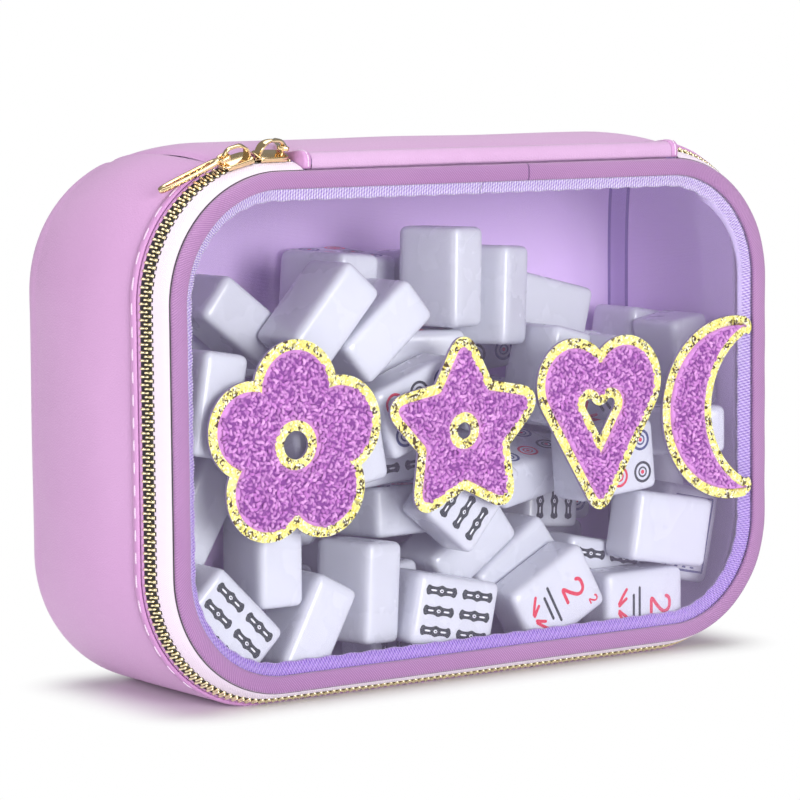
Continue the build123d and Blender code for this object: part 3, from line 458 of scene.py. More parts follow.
stitch_s = np.arange(ZIP_START + 4, ZIP_END - 2, STITCH + STITCH_GAP)
upper = np.sin(outline(stitch_s)[2]) > -0.8
rim_thread = stitches(stitch_s[upper], 6.35, 15.9, width=0.45, high=0.34)
fit("folded_rim_roll", "case_body", ["folded_rim"],
    [(rim_points, None, hem_leather), (rim_thread, None, thread)])


# ---- leather tabs over the zip's ends ------------------------------------------------------------
# A small leather tab is wrapped over the roll at each end of the zip and caught with one row of
# stitches that runs round the roll.

TAB_LEFT, TAB_RIGHT = (-75.7, -72.6), (85.7, 88.7)      # X of each tab's two edges
TAB_T = 0.4
TAB_MIDDLE = np.array([3.0, 9.0])           # out and depth that the tab's ends close on
tab_out, tab_depth = fold_line(TAB_T)


def tab_thread(x, count=48, pitch=2.3):
    """A row of stitches round the tab: a thread along its section that dips under at every pitch."""
    run = run_length(tab_out, tab_depth)
    t = np.linspace(run[2] + 0.4, run[-2], count)
    out, depth = np.interp(t, run, tab_out), np.interp(t, run, tab_depth)
    away = np.stack([out, depth], axis=-1) - TAB_MIDDLE
    away /= np.linalg.norm(away, axis=1, keepdims=True)
    show = np.clip(2.2 * np.abs(np.sin(np.pi * (t - t[0]) / pitch)), 0, 1)[:, None] ** 0.5
    turn = np.linspace(0, 2 * np.pi, 7)[None]
    lift = 0.24 * show * (1 + np.cos(turn)) - 0.14
    return on_outline(-x + 0.26 * show * np.sin(turn), out[:, None] + away[:, :1] * lift,
                      depth[:, None] + away[:, 1:] * lift)


for side, (x_from, x_to) in (("left", TAB_LEFT), ("right", TAB_RIGHT)):
    edge = np.array([0, 0, 0.05, 0.14, 0.4, 0.6, 0.86, 0.95, 1, 1])
    draw = np.array([1, 0.12, 0.05, 0.01, 0, 0, 0.01, 0.05, 0.12, 1])[:, None]
    tab_s = -(x_from + (x_to - x_from) * edge[::-1])[:, None]
    skin = on_outline(tab_s, tab_out + (TAB_MIDDLE[0] - tab_out) * draw,
                      tab_depth + (TAB_MIDDLE[1] - tab_depth) * draw)
    fit("zip_tab_" + side + "_leather", "case_body", ["zip_tab_" + side],
        [(skin, None, hem_leather), (tab_thread((x_from + x_to) / 2), None, thread)])


# ---- lining --------------------------------------------------------------------------------------
# Lavender nylon taffeta, glued flat inside the leather, with a darker upright tape sewn over the
# seam in each back corner.

LINING_INSET, LINING_FRONT = 2.0, 22.5
LINING_T = 0.7
LINING_FLAT = 40.0          # the back wall's grid starts this far in from the outline
SEAM_PLACE, SEAM_LEAN = 0.102, 0.71         # upright plane of each back corner's seam tape, in metres
SEAM_TAPE_HALF, SEAM_TAPE_STITCH = 0.0042, 0.0007


def on_cut(tree):
    """Place on the flat-cut piece, in millimetres along and across it."""
    return add(tree, "UVMap", uv_map="UVMap").outputs[0]


def coords(tree, place):
    """The numbers of a place one by one."""
    return add(tree, "SeparateXYZ", {0: place}).outputs


FULL_TURN = 6.2832

# Ribs of yarn or cord: a sine wave over the place, its crests a pitch apart and leaning by the slant.
ribs, r_in, r_out = group("ribs", {"Place": (0.0, 0.0, 0.0), "Pitch": 1.0, "Slant": 0.0},
                          {"Height": "Float"})
r_at = coords(ribs, r_in["Place"])
r_along = calc(ribs, "ADD", r_at[0], calc(ribs, "MULTIPLY", r_at[1], r_in["Slant"]))
r_turns = calc(ribs, "DIVIDE", calc(ribs, "MULTIPLY", r_along, FULL_TURN), r_in["Pitch"])
r_wave = calc(ribs, "SINE", r_turns)
ribs.links.new(calc(ribs, "MULTIPLY_ADD", r_wave, 0.5, 0.5), r_out["Height"])


def ribbed(tree, place, pitch, slant):
    """Height of the ribs in a material, from 0 in a valley to 1 on a crest."""
    return place_group(tree, ribs, {"Place": place, "Pitch": pitch, "Slant": slant})["Height"]


taffeta, tree, shader = finish("lavender_taffeta", Roughness=0.55, Sheen_Weight=0.3, Sheen_Roughness=0.4)
uv = on_cut(tree)
warp = ribbed(tree, uv, 0.5, 0.0)
swapped = add(tree, "Mapping", {"Vector": uv, "Rotation": (0.0, 0.0, np.pi / 2)}).outputs[0]
weft = ribbed(tree, swapped, 0.5, 0.0)
weave = calc(tree, "MULTIPLY", warp, weft)
place = coords(tree, on_object(tree))
lean = calc(tree, "MULTIPLY", place[1], SEAM_LEAN)
plane = calc(tree, "SUBTRACT", calc(tree, "ABSOLUTE", place[0]), lean)
off_seam = calc(tree, "ABSOLUTE", calc(tree, "SUBTRACT", plane, SEAM_PLACE))
tape_mask = calc(tree, "LESS_THAN", off_seam, SEAM_TAPE_HALF)
tape_edge = calc(tree, "COMPARE", off_seam, SEAM_TAPE_HALF - 0.0002, SEAM_TAPE_STITCH)
soft = noise(tree, uv, 0.02)
base = blend(tree, soft, tone(234, 206, 253), tone(226, 196, 250))
base = blend(tree, tape_mask, base, tone(186, 156, 220))
base = blend(tree, tape_edge, base, tone(128, 98, 176))
feed(shader, "Base Color", blend(tree, calc(tree, "MULTIPLY", weave, 0.16), base, tone(236, 216, 252)))
feed(shader, "Normal", relief(tree, weave, 0.4, 0.0001))

lining_s = np.linspace(0, ROUND_OUTLINE, 321)
lining_rows, inner_rows = (skin_rows(LINING_FRONT, inset, seam=LINING_FLAT, count=(30, 12, 14))
                           for inset in (LINING_INSET, LINING_INSET + LINING_T))
lining_line = run_length(*lining_rows[:2])
ss, tt = lining_s[:, None], lining_line[None]
once_round = 2 * np.pi * ss / ROUND_OUTLINE
ripple = 0.25 * np.sin(once_round * 9) * np.sin(tt / 13) + 0.2 * np.sin(once_round * 23 + tt / 8)
calm = ease(tt, 0, 10) * ease(lining_line[-1] - tt, 0, 20) * (lining_rows[0] < 90)
inner = padded_skin(lining_s, inner_rows, LINING_INSET + LINING_T, push=ripple * calm - 0.3)
outer = padded_skin(lining_s, lining_rows, LINING_INSET)
fold_back = np.concatenate([outer[:, ::-1], inner], axis=1)
lining_uv = cut_place(ss, np.concatenate([tt * 0, tt], axis=1))
middle, inwards = spine(lining_s, -LINING_FLAT), np.linspace(1, 0, 12)
back_wall, glued_wall = (between_lines(middle, skin[:, -1], inwards) for skin in (inner, outer))
back_wall[..., 1], glued_wall[..., 1] = inner[0, -1, 1], outer[0, -1, 1]
wall_uv = cut_place(back_wall[..., 0] + 200, back_wall[..., 2] + 200)
lining = fit("lining_cloth", "case_body", ["lining"],
             [(fold_back[:, ::-1], lining_uv[:, ::-1], taffeta),
              (back_wall[:, ::-1], wall_uv[:, ::-1], taffeta), (glued_wall, wall_uv, taffeta)])


# ---- zip tapes -----------------------------------------------------------------------------------
# Two woven polyester tapes, pinkish white, each with a beaded edge that the teeth clamp on.
# The front one is sewn to the flap, the rear one to the gusset.

CHAIN_RUN = 10.1            # the chain's middle, along the tape from the binding
TAPE_T = 0.8
TOOTH_PITCH = 2.7
FIRST_TOOTH = 0.4           # of a pitch, from the chain's start
CHAIN_OUT, CHAIN_DEPTH = zip_line(CHAIN_RUN, -TAPE_T / 2)
CHAIN_R = CORNER + CHAIN_OUT
SHOULDER = np.radians(45)   # the flap's tape leaves the case this far round each upper corner
SHOULDERS = (TOP_RUN / 2 + SHOULDER * CORNER, ROUND_OUTLINE - TOP_RUN / 2 - SHOULDER * CORNER)
SHOULDER_GAP = 0.06
FLAP_RUNS = [0.15, 0.5, 1.2, 2.4, 3.6, 4.8, 6.0, 7.0, 7.4, 7.8, 8.2, 9.9]
FLAP_RISE = [0.0, 0.02, 0.1, 0.22, 0.25, 0.22, 0.15, 0.05, 0.0, -0.1, -0.35, -0.4]

tape_weave, tree, shader = finish("zip_tape_weave", Roughness=0.6, Sheen_Weight=0.35, Sheen_Roughness=0.4)
uv = on_cut(tree)
at = coords(tree, uv)
chevron = calc(tree, "PINGPONG", at[1], 1.9)
vee = add(tree, "CombineXYZ", {0: at[0], 1: chevron}).outputs[0]
herring = ribbed(tree, vee, 0.75, 0.8)          # herringbone weave
pale = blend(tree, herring, tone(232, 212, 234), tone(248, 234, 248))
# The tape is painted near black in three places: its beaded edge, as painted shade between the teeth;
# squares at each front tooth's foot; and a thin line beside the binding, as painted shadow of the gap under
# the binding's edge.
bead = fade_in(tree, at[1], 7.9, 8.1)
root = calc(tree, "PINGPONG", calc(tree, "SUBTRACT", at[0], TOOTH_PITCH * FIRST_TOOTH), TOOTH_PITCH / 2)
root = calc(tree, "MULTIPLY", calc(tree, "LESS_THAN", root, 0.72), fade_in(tree, at[1], 7.0, 7.15))
seam = fade_in(tree, at[1], 0.75, 0.35)
dark = calc(tree, "MAXIMUM", calc(tree, "MAXIMUM", bead, root), seam)
feed(shader, "Base Color", blend(tree, dark, pale, tone(30, 22, 32)))
feed(shader, "Normal", relief(tree, herring, 0.5, 0.00012))


def turns(quarter):
    """Distances from the zip's start at which straights and quarter rounds of that length meet."""
    return np.cumsum([0, TOP_RUN / 2 - ZIP_START, *([quarter, SIDE_RUN, quarter, TOP_RUN] * 2)[:-1]])


CHAIN_TURNS, OUTLINE_TURNS = turns(CHAIN_R * np.pi / 2), ZIP_START + turns(QUARTER)


def tape(s, runs, rise, stuff):
    """A flat tape along the outline at s: one face over the runs, at its rise off the zip's slope,
    and the other back again, TAPE_T lower, closed at its edges."""
    loop_run = np.array([*runs, *runs[::-1], runs[0]])
    loop_rise = np.array([*rise, *(np.array(rise[::-1]) - TAPE_T), rise[0]])
    out, depth = zip_line(loop_run, loop_rise)
    points = on_outline(s[:, None], out[None], depth[None])
    points[..., 2] = np.maximum(points[..., 2], GROUND_CLEAR)
    return points, cut_place(np.interp(s, OUTLINE_TURNS, CHAIN_TURNS)[:, None], loop_run[None]), stuff


flap_s = np.linspace(SHOULDERS[0] + SHOULDER_GAP, SHOULDERS[1] - SHOULDER_GAP, 380)
fit("zip_tape_on_flap", "flap", ["zip_tape_front"],
    [tape(flap_s, FLAP_RUNS, FLAP_RISE, tape_weave)])
for side, ends in (("left", (ZIP_START, SHOULDERS[0])), ("right", (SHOULDERS[1], ZIP_END))):
    fit("zip_tape_at_top_" + side, "case_body", ["zip_tape_top_" + side],
        [tape(np.linspace(*ends, 60), FLAP_RUNS, FLAP_RISE, tape_weave)])
rear_s = np.linspace(ZIP_START, ZIP_END, 420)
fit("zip_tape_in_gusset", "case_body", ["zip_tape_rear"],
    [tape(rear_s, [10.3, 12.2, 12.6], [-0.4, -0.4, -0.2], tape_weave),
     tape(rear_s, [12.6, 12.9, 13.4, 14.0, 15.5, 18.0], [-0.2, 0.0, 0.05, -0.4, -1.6, -3.2], hem_leather)])


# ---- zip teeth -----------------------------------------------------------------------------------
# Stamped brass teeth, clamped one by one on the tapes' beads; the two rows hook into each other.
# Their outer faces are rubbed bright, and the rest of them is dark with tarnish and painted shade.

CHAIN_LENGTH = CHAIN_TURNS[-1] - CHAIN_R * END_TURN
SLIDERS_AT, MOUTHS = (21.9, 8.0), (-1, 1)   # along the chain, and the way that each one's mouth points
WEDGE_AT, WEDGE_HALF = 4.7, 2.25            # from a slider's middle: no teeth stand beside its wedge

brass, tree, shader = finish("zip_brass", Metallic=1.0)
tarnish = noise(tree, on_object(tree), 420.0, 3.0)
height = coords(tree, on_cut(tree))[1]
# Painted shade as well as tarnish: the teeth are painted near black away from their outer faces.
rubbed_and_lit = fade_in(tree, calc(tree, "ADD", height, calc(tree, "MULTIPLY", tarnish, 0.3)), 0.5, 0.95)
feed(shader, "Base Color", blend(tree, rubbed_and_lit, tone(34, 26, 20), tone(252, 238, 196)))
feed(shader, "Roughness", range_of(tree, rubbed_and_lit, 0.55, 0.25))


def chain_frames(distance):
    """Middle, outward-of-tape, off-tape and along directions at distances along the chain, as the
    outline is drawn at the chain's own radius; rows of a matrix turn tooth sizes into places."""
    x, z, turn = outline(np.interp(distance, CHAIN_TURNS, OUTLINE_TURNS))
    n = np.stack([np.cos(turn), 0 * turn, np.sin(turn)], axis=-1)
    tangent = np.stack([-np.sin(turn), 0 * turn, np.cos(turn)], axis=-1)
    back = np.array([0.0, 1.0, 0.0])
    centre = np.stack([x, 0 * x + FRONT + CHAIN_DEPTH, z + MIDDLE], axis=-1) + n * CHAIN_R
    run = n * np.sin(ZIP_SLOPE) + back * np.cos(ZIP_SLOPE)
    off = n * np.cos(ZIP_SLOPE) - back * np.sin(ZIP_SLOPE)
    return centre, np.stack([run, off, tangent], axis=1)


def eased_square(count, power, start=0.0):
    """A square with eased corners, once round: cosine and sine, their sizes raised to a power."""
    turn = np.linspace(0, 2 * np.pi, count) + start
    return [np.sign(wave) * np.abs(wave) ** power for wave in (np.cos(turn), np.sin(turn))]


def tooth_form(side):
    """Rounded bar from the bead to past the middle: waisted behind a wider hooked head."""
    x = np.array([2.5, 2.5, 2.35, 1.7, 0.9, 0.3, -0.2, -0.6, -0.85, -0.88]) * side
    wide = np.array([0.0, 0.42, 0.56, 0.54, 0.40, 0.36, 0.46, 0.44, 0.28, 0.0])
    high = np.array([0.0, 0.75, 0.95, 1.0, 0.92, 0.95, 1.05, 1.0, 0.7, 0.0])
    c, s = eased_square(9, 0.7, np.pi / 8)
    form = np.stack([x[:, None] + 0 * c, high[:, None] * s, wide[:, None] * c], axis=-1)
    return form if side > 0 else form[:, ::-1]


def tooth_row(front, keep):
    """Every tooth of one row that keep lets through, turned into its place on the chain."""
    first = TOOTH_PITCH * (FIRST_TOOTH if front else FIRST_TOOTH + 0.5)
    places = np.arange(first, CHAIN_LENGTH - 1.05, TOOTH_PITCH)
    for middle, mouth in zip(SLIDERS_AT, MOUTHS):
        places = places[np.abs(places - middle - mouth * WEDGE_AT) > WEDGE_HALF]
    places = places[keep(places)]
    centre, turn = chain_frames(places)
    form = tooth_form(-1 if front else 1)
    uv = np.stack([form[..., 0], 0.5 + form[..., 1] / 2.1], axis=-1)
    return centre[:, None, None] + np.einsum("uvk,nkc->nuvc", form, turn), uv


near, far = CHAIN_TURNS[1] + CHAIN_R * SHOULDER, CHAIN_TURNS[-1] - CHAIN_R * SHOULDER
for name, body, node, front, keep in (
        ("brass_teeth_on_flap", "flap", "zip_teeth_front", True, lambda p: (p > near) & (p < far)),
        ("brass_teeth_at_top", "case_body", "zip_teeth_top", True, lambda p: (p <= near) | (p >= far)),
        ("brass_teeth_in_gusset", "case_body", "zip_teeth_rear", False, lambda p: p > 0)):
    points, uv_grid = tooth_row(front, keep)
    fit(name, body, [node], [(points, uv_grid, brass)])


# ---- sliders -------------------------------------------------------------------------------------
# Die-cast, light gold plated: two plates joined by a wedge at the mouth, with inturned flanges that
# hold the teeth, and a bridge over the top plate that the pull's eye is threaded on.

SLIDER_LENGTH, SLIDER_HALF, SLIDER_NOSE = 12.6, 3.7, 3.45
PLATE_TOP, PLATE_LOW = 2.5, 1.5     # both plates' outer and inner faces, off the chain's middle
BRIDGE_LEG, BRIDGE_R, BRIDGE_T, BRIDGE_HALF = 1.9, 3.3, 0.95, 0.75
BRIDGE_X, BRIDGE_FOOT = 1.7, -5.6   # along the slider: centre of the bend, and the foot at the mouth

gold, tree, shader = finish("light_gold_plate", Metallic=1.0, Coat_Weight=0.3, Coat_Roughness=0.1)
cast = noise(tree, on_object(tree), 180.0, 3.0)
feed(shader, "Base Color", blend(tree, cast, tone(232, 196, 136), tone(250, 230, 190)))
feed(shader, "Roughness", range_of(tree, cast, 0.1, 0.18))
feed(shader, "Normal", relief(tree, cast, 0.03, 0.0001))


def plate(low, high, ease_by):
    """A slider plate: its plan shrinks towards top and bottom as a quarter round, then closes."""
    cx, cy = eased_square(41, 0.42)
    half = np.where(cx > 0, SLIDER_HALF + (SLIDER_NOSE - SLIDER_HALF) * cx, SLIDER_HALF)
    rise = np.array([high, high, high - 0.12 * ease_by, high - 0.45 * ease_by, high - ease_by,
                     low + ease_by, low + 0.45 * ease_by, low, low])
    shrink = np.array([9.0, 1.0, 0.55, 0.12, 0, 0, 0.12, 1.0, 9.0]) * ease_by
    x = np.clip(SLIDER_LENGTH / 2 - shrink, 0, None)[:, None] * cx
    y = np.clip(half[None] - shrink[:, None], 0, None) * cy
    return np.stack([x, y, rise[:, None] + 0 * x], axis=-1)


def flange(side):
    """Inturned lip down one side, a rounded bar that hides the teeth's ends."""
    c, s = eased_square(13, 0.45)
    x = np.array([-5.6, -5.6, -5.2, 0, 4.6, 5.0, 5.0])
    size = np.array([0, 0.9, 1, 1, 1, 0.9, 0])
    wide = np.array([3.3, 3.3, 3.3, 3.3, 3.1, 3.05, 3.05])
    y = side * wide[:, None] + 0.34 * size[:, None] * c * side
    z = 1.25 + 0.5 * size[:, None] * s
    grid = np.stack([x[:, None] + 0 * y, y, z], axis=-1)
    return grid if side > 0 else grid[:, ::-1]


def bridge():
    """Strap over the plate: up the nose end, round, along, and down in a long curve to the mouth."""
    up = np.linspace(0, BRIDGE_LEG, 4)
    bend = np.linspace(0, np.pi / 2, 9)[1:]
    t = np.linspace(0, 1, 12)[1:, None]
    r = BRIDGE_R - BRIDGE_T / 2
    top = BRIDGE_LEG + r
    foot = BRIDGE_FOOT + BRIDGE_T / 2
    p = np.array([[BRIDGE_X - 2.2, top], [BRIDGE_X - 4.6, top], [foot, top - 1.4], [foot, -0.3]])
    drop = (1 - t) ** 3 * p[0] + 3 * (1 - t) ** 2 * t * p[1] + 3 * (1 - t) * t ** 2 * p[2] + t ** 3 * p[3]
    path = np.concatenate([np.stack([0 * up + BRIDGE_X + r, up - 0.3 * (up == 0)], axis=-1),
                           np.stack([BRIDGE_X + r * np.cos(bend), BRIDGE_LEG + r * np.sin(bend)], axis=-1),
                           [[BRIDGE_X - 1.1, top], [BRIDGE_X - 2.2, top]], drop])
    ahead = np.gradient(path, axis=0)
    ahead /= np.linalg.norm(ahead, axis=1, keepdims=True)
    normal = np.stack([ahead[:, 1], -ahead[:, 0]], axis=-1)
    c, s = eased_square(17, 0.45)
    offset = BRIDGE_T / 2 * c
    flare = np.linspace(0, 1, len(path))[:, None]
    return np.stack([path[:, :1] + normal[:, :1] * offset,
                     (BRIDGE_HALF + 1.15 * ease(flare, 0.5, 0.85)) * s,
                     path[:, 1:] + normal[:, 1:] * offset + PLATE_TOP], axis=-1)


def slider_frame(number):
    """Middle of the slider on the chain, and its mouth-to-nose, sideways and off-tape directions."""
    (centre,), ((_, off, ahead),) = chain_frames(np.array([SLIDERS_AT[number - 1]]))
    nose = ahead * -MOUTHS[number - 1]
    return centre, np.stack([nose, np.cross(off, nose), off])


def wedge():
    """The post between the plates at the mouth, which parts the rows: thin, thick and thin again."""
    c, s = eased_square(13, 0.45)
    x, wide, high = [-6.2, -6.1, -4.5, -3.2, -3.1], [0, 0.7, 1.2, 0.4, 0], [0, 1.6, 1.6, 1.6, 0]
    return np.stack([np.array(x)[:, None] + 0 * c, np.outer(wide, c), np.outer(high, s)], axis=-1)


for number in (1, 2):
    centre, axes = slider_frame(number)
    forms = [plate(PLATE_LOW, PLATE_TOP, 0.42), plate(-PLATE_TOP, -PLATE_LOW, 0.4),
             flange(1), flange(-1), bridge(), wedge()]
    fit(f"slider_{number}_gold", f"slider_{number}", [f"slider_{number}"],
        [(centre + form @ axes, None, gold) for form in forms], sharp=50)


# ---- pulls ---------------------------------------------------------------------------------------
# Stamped and plated bars with a long slot, and an eye at one end that is loose round the bridge.
# Each one lies turned aside and dips towards the chain by its own angle.

PULL_LENGTH, PULL_HALF, PULL_T = 27.0, 1.9, 1.5
PULL_SWINGS, PULL_DIPS = (-14.0, 60.0), (19.0, 14.5)       # how each one lies, in degrees
SLOT_HALF = 0.65
SLOT_ENDS = 3.2, 3.0        # metal left beyond the slot, at the eye and at the tip
EYE_L, EYE_W, EYE_RIM = 2.6, 2.5, 0.9


def turn_about(axis, degrees):
    """Turning matrix about x (0), y (1) or z (2)."""
    return np.array(Matrix.Rotation(np.radians(degrees), 3, "XYZ"[axis]))


def raised(flat, rise):
    """A flat grid of points lifted by a rise for each of its columns."""
    return np.concatenate([flat, np.broadcast_to(rise[None, :, None], flat.shape[:2] + (1,))], axis=-1)


def frame_loop(x_from, x_to, half, hole_from, hole_to, hole_half, thick, ease_by=0.45):
    """A flat bar with a hole: both outlines are stretched rounded squares, joined by a rounded
    section that runs over the top, down outside, under, and up through the hole."""
    cx, cy = eased_square(49, 0.5)
    side, rise = eased_square(17, ease_by)
    rim = np.stack([(x_from + x_to) / 2 + (x_to - x_from) / 2 * cx, half * cy], axis=-1)
    hole = np.stack([(hole_from + hole_to) / 2 + (hole_to - hole_from) / 2 * cx, hole_half * cy], axis=-1)
    return raised(between_lines(hole, rim, (1 + side) / 2), thick / 2 * rise)


for number in (1, 2):
    centre, axes = slider_frame(number)
    head, half_eye = EYE_L / 2 + EYE_RIM, EYE_W / 2 + EYE_RIM
    start, tip = head - 0.6, PULL_LENGTH - head
    forms = [frame_loop(-head, head, half_eye, -EYE_L / 2, EYE_L / 2, EYE_W / 2, PULL_T, 0.6),
             frame_loop(start, tip, PULL_HALF, start + SLOT_ENDS[0], tip - SLOT_ENDS[1], SLOT_HALF, PULL_T)]
    swing = turn_about(2, PULL_SWINGS[number - 1]) @ turn_about(1, PULL_DIPS[number - 1])
    leg = np.array([BRIDGE_X + BRIDGE_R - BRIDGE_T / 2, 0, PLATE_TOP + BRIDGE_LEG])
    sheets = [(centre + (form @ swing.T + leg) @ axes, None, gold) for form in forms]
    fit(f"pull_{number}_gold", f"pull_{number}", [f"slider_pull_{number}"], sheets, sharp=55)


# ---- flap binding --------------------------------------------------------------------------------
# Twill tape folded over the cut edge of the window and sewn through, in the leather's colour.
# Its two ends meet on the upper edge.

BINDING_WIDTH = 6.2
BINDING_JOIN = ROUND_OUTLINE - 18.5         # where the tape's two ends meet, on the upper edge

twill, tree, shader = finish("binding_twill", Roughness=0.62, Sheen_Weight=0.35, Sheen_Roughness=0.45)
uv = on_cut(tree)
cord = ribbed(tree, uv, 0.95, 0.85)
drift = place_group(tree, grain, {"Pebbles per m": 500.0, "Drift per m": 14.0})["Drift"]
pink = blend(tree, drift, tone(169, 123, 172), tone(181, 136, 182))
ends = coords(tree, uv)[0]
joint = calc(tree, "COMPARE", ends, BINDING_JOIN, 0.35)
# Painted shade: the valleys between the twill's cords are painted darker.
shade = calc(tree, "MULTIPLY", calc(tree, "SUBTRACT", 1.0, cord), 0.62)
pink = blend(tree, shade, pink, tone(132, 84, 142))
feed(shader, "Base Color", blend(tree, joint, pink, tone(110, 70, 120)))
feed(shader, "Normal", relief(tree, cord, 0.7, 0.0002))

binding_s = np.linspace(0, ROUND_OUTLINE, 421)
share = np.array([0, 0.03, 0.09, 0.2, 0.35, 0.5, 0.65, 0.8, 0.91, 0.97, 1.0])
rise = np.array([1.7, 1.05, 0.52, 0.2, 0.06, 0.0, 0.03, 0.12, 0.36, 0.75, 1.7])
section_t = np.array([*share[::-1], 0, 1]) * BINDING_WIDTH
section_depth = np.array([*rise[::-1], BINDING_T, BINDING_T])
puff = 0.08 * np.sin(2 * np.pi * binding_s / ROUND_OUTLINE * 37)[:, None] * (section_depth < 1)[None]
section = on_outline(binding_s[:, None], -section_t[None], section_depth[None] + puff)
binding_uv = cut_place(binding_s[:, None], section_t[None])
fit("binding_tape", "flap", ["flap_binding"], [(section[:, ::-1], binding_uv[:, ::-1], twill)])


# ---- clear window --------------------------------------------------------------------------------
# A 0.5 mm sheet of soft clear PVC, its cut edge inside the binding. It hangs a little slack, so long
# faint creases catch the light, and it has a hazy bend beside the binding at the upper right.

WINDOW_T = 0.5
WINDOW_EDGE = -1.6
LIP_R, LIP_HALF = 0.0322, 0.0014            # metres: the hazy bend's radius and half its width


def past(tree, value, limit):
    """How far a value is past a limit, or 0 before it."""
    return calc(tree, "MAXIMUM", calc(tree, "SUBTRACT", value, limit), 0.0)


def slant_way(tree, a, b):
    """The straight way over two steps square to each other: the root of a * a + b * b."""
    return calc(tree, "SQRT", calc(tree, "ADD", calc(tree, "MULTIPLY", a, a), calc(tree, "MULTIPLY", b, b)))


clear, tree, shader = finish("clear_pvc", Base_Color=tone(206, 190, 232), Roughness=0.06, IOR=1.45)
facing = add(tree, "LayerWeight", {"Blend": 0.35}).outputs["Fresnel"]
place = on_object(tree)
at = coords(tree, place)
past_x = past(tree, at[0], (HALF_WIDTH - CORNER) / 1000)
past_z = past(tree, at[2], (MIDDLE + HALF_HEIGHT - CORNER) / 1000)
off_lip = calc(tree, "ABSOLUTE", calc(tree, "SUBTRACT", slant_way(tree, past_x, past_z), LIP_R))
lip = calc(tree, "SUBTRACT", 1.0, calc(tree, "DIVIDE", off_lip, LIP_HALF))
lip = fade_in(tree, lip, 0.0, 0.6, "SMOOTHSTEP")
turned_in = fade_in(tree, past_x, 0.011, 0.02)
low_end = fade_in(tree, at[2], 0.105, 0.125)
haze = calc(tree, "MULTIPLY", calc(tree, "MULTIPLY", lip, turned_in), low_end)
creases = add(tree, "Mapping", {"Vector": place, "Rotation": (0.0, 0.35, 0.0), "Scale": (9.0, 1.0, 2.2)})
sag = add(tree, "TexNoise", {"Vector": creases.outputs[0], "Scale": 3.0, "Distortion": 0.8}).outputs[0]
feed(shader, "Alpha",
     calc(tree, "ADD", calc(tree, "MULTIPLY_ADD", facing, 0.14, 0.03), calc(tree, "MULTIPLY", haze, 0.42)))
feed(shader, "Normal", relief(tree, sag, 0.5, 0.004))

window_s = np.linspace(0, ROUND_OUTLINE, 241)
face = disc(window_s, WINDOW_EDGE, np.linspace(0, 1, 40) ** 0.75)
x, z = face[..., 0], face[..., 2] - MIDDLE
held = ease(HALF_WIDTH - 1 - np.abs(x), 6, 30) * ease(HALF_HEIGHT - 1 - np.abs(z), 6, 30)
give = np.maximum(0.12 * np.sin(x / 21 + z / 40) * np.sin(z / 33) * held, -0.01)
front_face, back_face = face.copy(), face.copy()
front_face[..., 1] = FRONT + BINDING_T + 0.02 + give
back_face[..., 1] = FRONT + BINDING_T + WINDOW_T + give
cut_edge = np.stack([front_face[:, -1], back_face[:, -1]], axis=1)
fit("window_pvc", "flap", ["clear_window"],
    [(face, None, clear) for face in (front_face, cut_edge, back_face[:, ::-1])], sharp=60)


# ---- elastic inner band --------------------------------------------------------------------------
# Lavender knitted elastic that finishes the flap's edge on the inside. It shows through the window
# as a rope of small loops, drawn tight at the corners.

BAND_FRONT, BAND_T, BAND_WIDTH = 2.25, 0.8, 8.1
BAND_EDGE = 1.7             # the band starts this far in from the flap's edge
LOOP = 1.05                 # from one knitted loop to the next
GATHER_AT, GATHER_REACH = ROUND_OUTLINE - TOP_RUN / 2 - 34, 22      # drawn tight beside a corner

knit, tree, shader = finish("lavender_knit", Roughness=0.75, Sheen_Weight=0.5)
uv = on_cut(tree)
loops = ribbed(tree, uv, LOOP, 0.35)
cross = ribbed(tree, uv, 2 * LOOP, -1.3)
high = coords(tree, on_object(tree))[2]
# Painted light and shade: the band is painted paler higher up, where light from above falls, and darker in
# the valleys between its loops.
lit = fade_in(tree, high, 0.02, 0.17)
light = blend(tree, lit, tone(196, 160, 242), tone(240, 228, 252))
dark = blend(tree, lit, tone(110, 66, 186), tone(136, 98, 200))
body = calc(tree, "MULTIPLY_ADD", cross, 0.35, calc(tree, "MULTIPLY", loops, 0.75))
feed(shader, "Base Color", blend(tree, body, dark, light))
feed(shader, "Normal", relief(tree, body, 0.9, 0.0004))

band_s = np.linspace(0, ROUND_OUTLINE, 2101)
gather = np.exp(-((band_s - GATHER_AT) / GATHER_REACH) ** 2)[:, None]
t = np.linspace(0, 1, 12)[None]
scallop = np.abs(np.sin(np.pi * band_s / LOOP))[:, None] * (0.7 + 0.3 * np.sin(band_s * 0.7)[:, None])
front_out = -BAND_EDGE - BAND_WIDTH * t - 0.75 * scallop * ease(t, 0.6, 1)
front_depth = (BAND_FRONT + 0.05 + 2.0 * ease(t, 0.5, 1.0) + 0.35 * (1 - scallop * np.sin(np.pi * t))
               + gather * 0.35 * np.sin(band_s / 1.9)[:, None] * t)
band_front, band_back = (on_outline(band_s[:, None], front_out, front_depth + back) for back in (0, BAND_T))
loop = np.concatenate([band_front[:, ::-1], band_back, band_front[:, -1:]], axis=1)
loop_t = np.concatenate([t[:, ::-1], t, t[:, -1:]], axis=1) * 8.3
band_uv = cut_place(band_s[:, None], loop_t)
fit("inner_band_knit", "flap", ["inner_band"], [(loop[:, ::-1], band_uv[:, ::-1], knit)])


# ---- fluffy patches ------------------------------------------------------------------------------
# Four iron-on patches in a row across the window: looped orchid pile on a stiff backing whose wide
# border is coated in gold glitter. Blossom, star, heart and crescent.

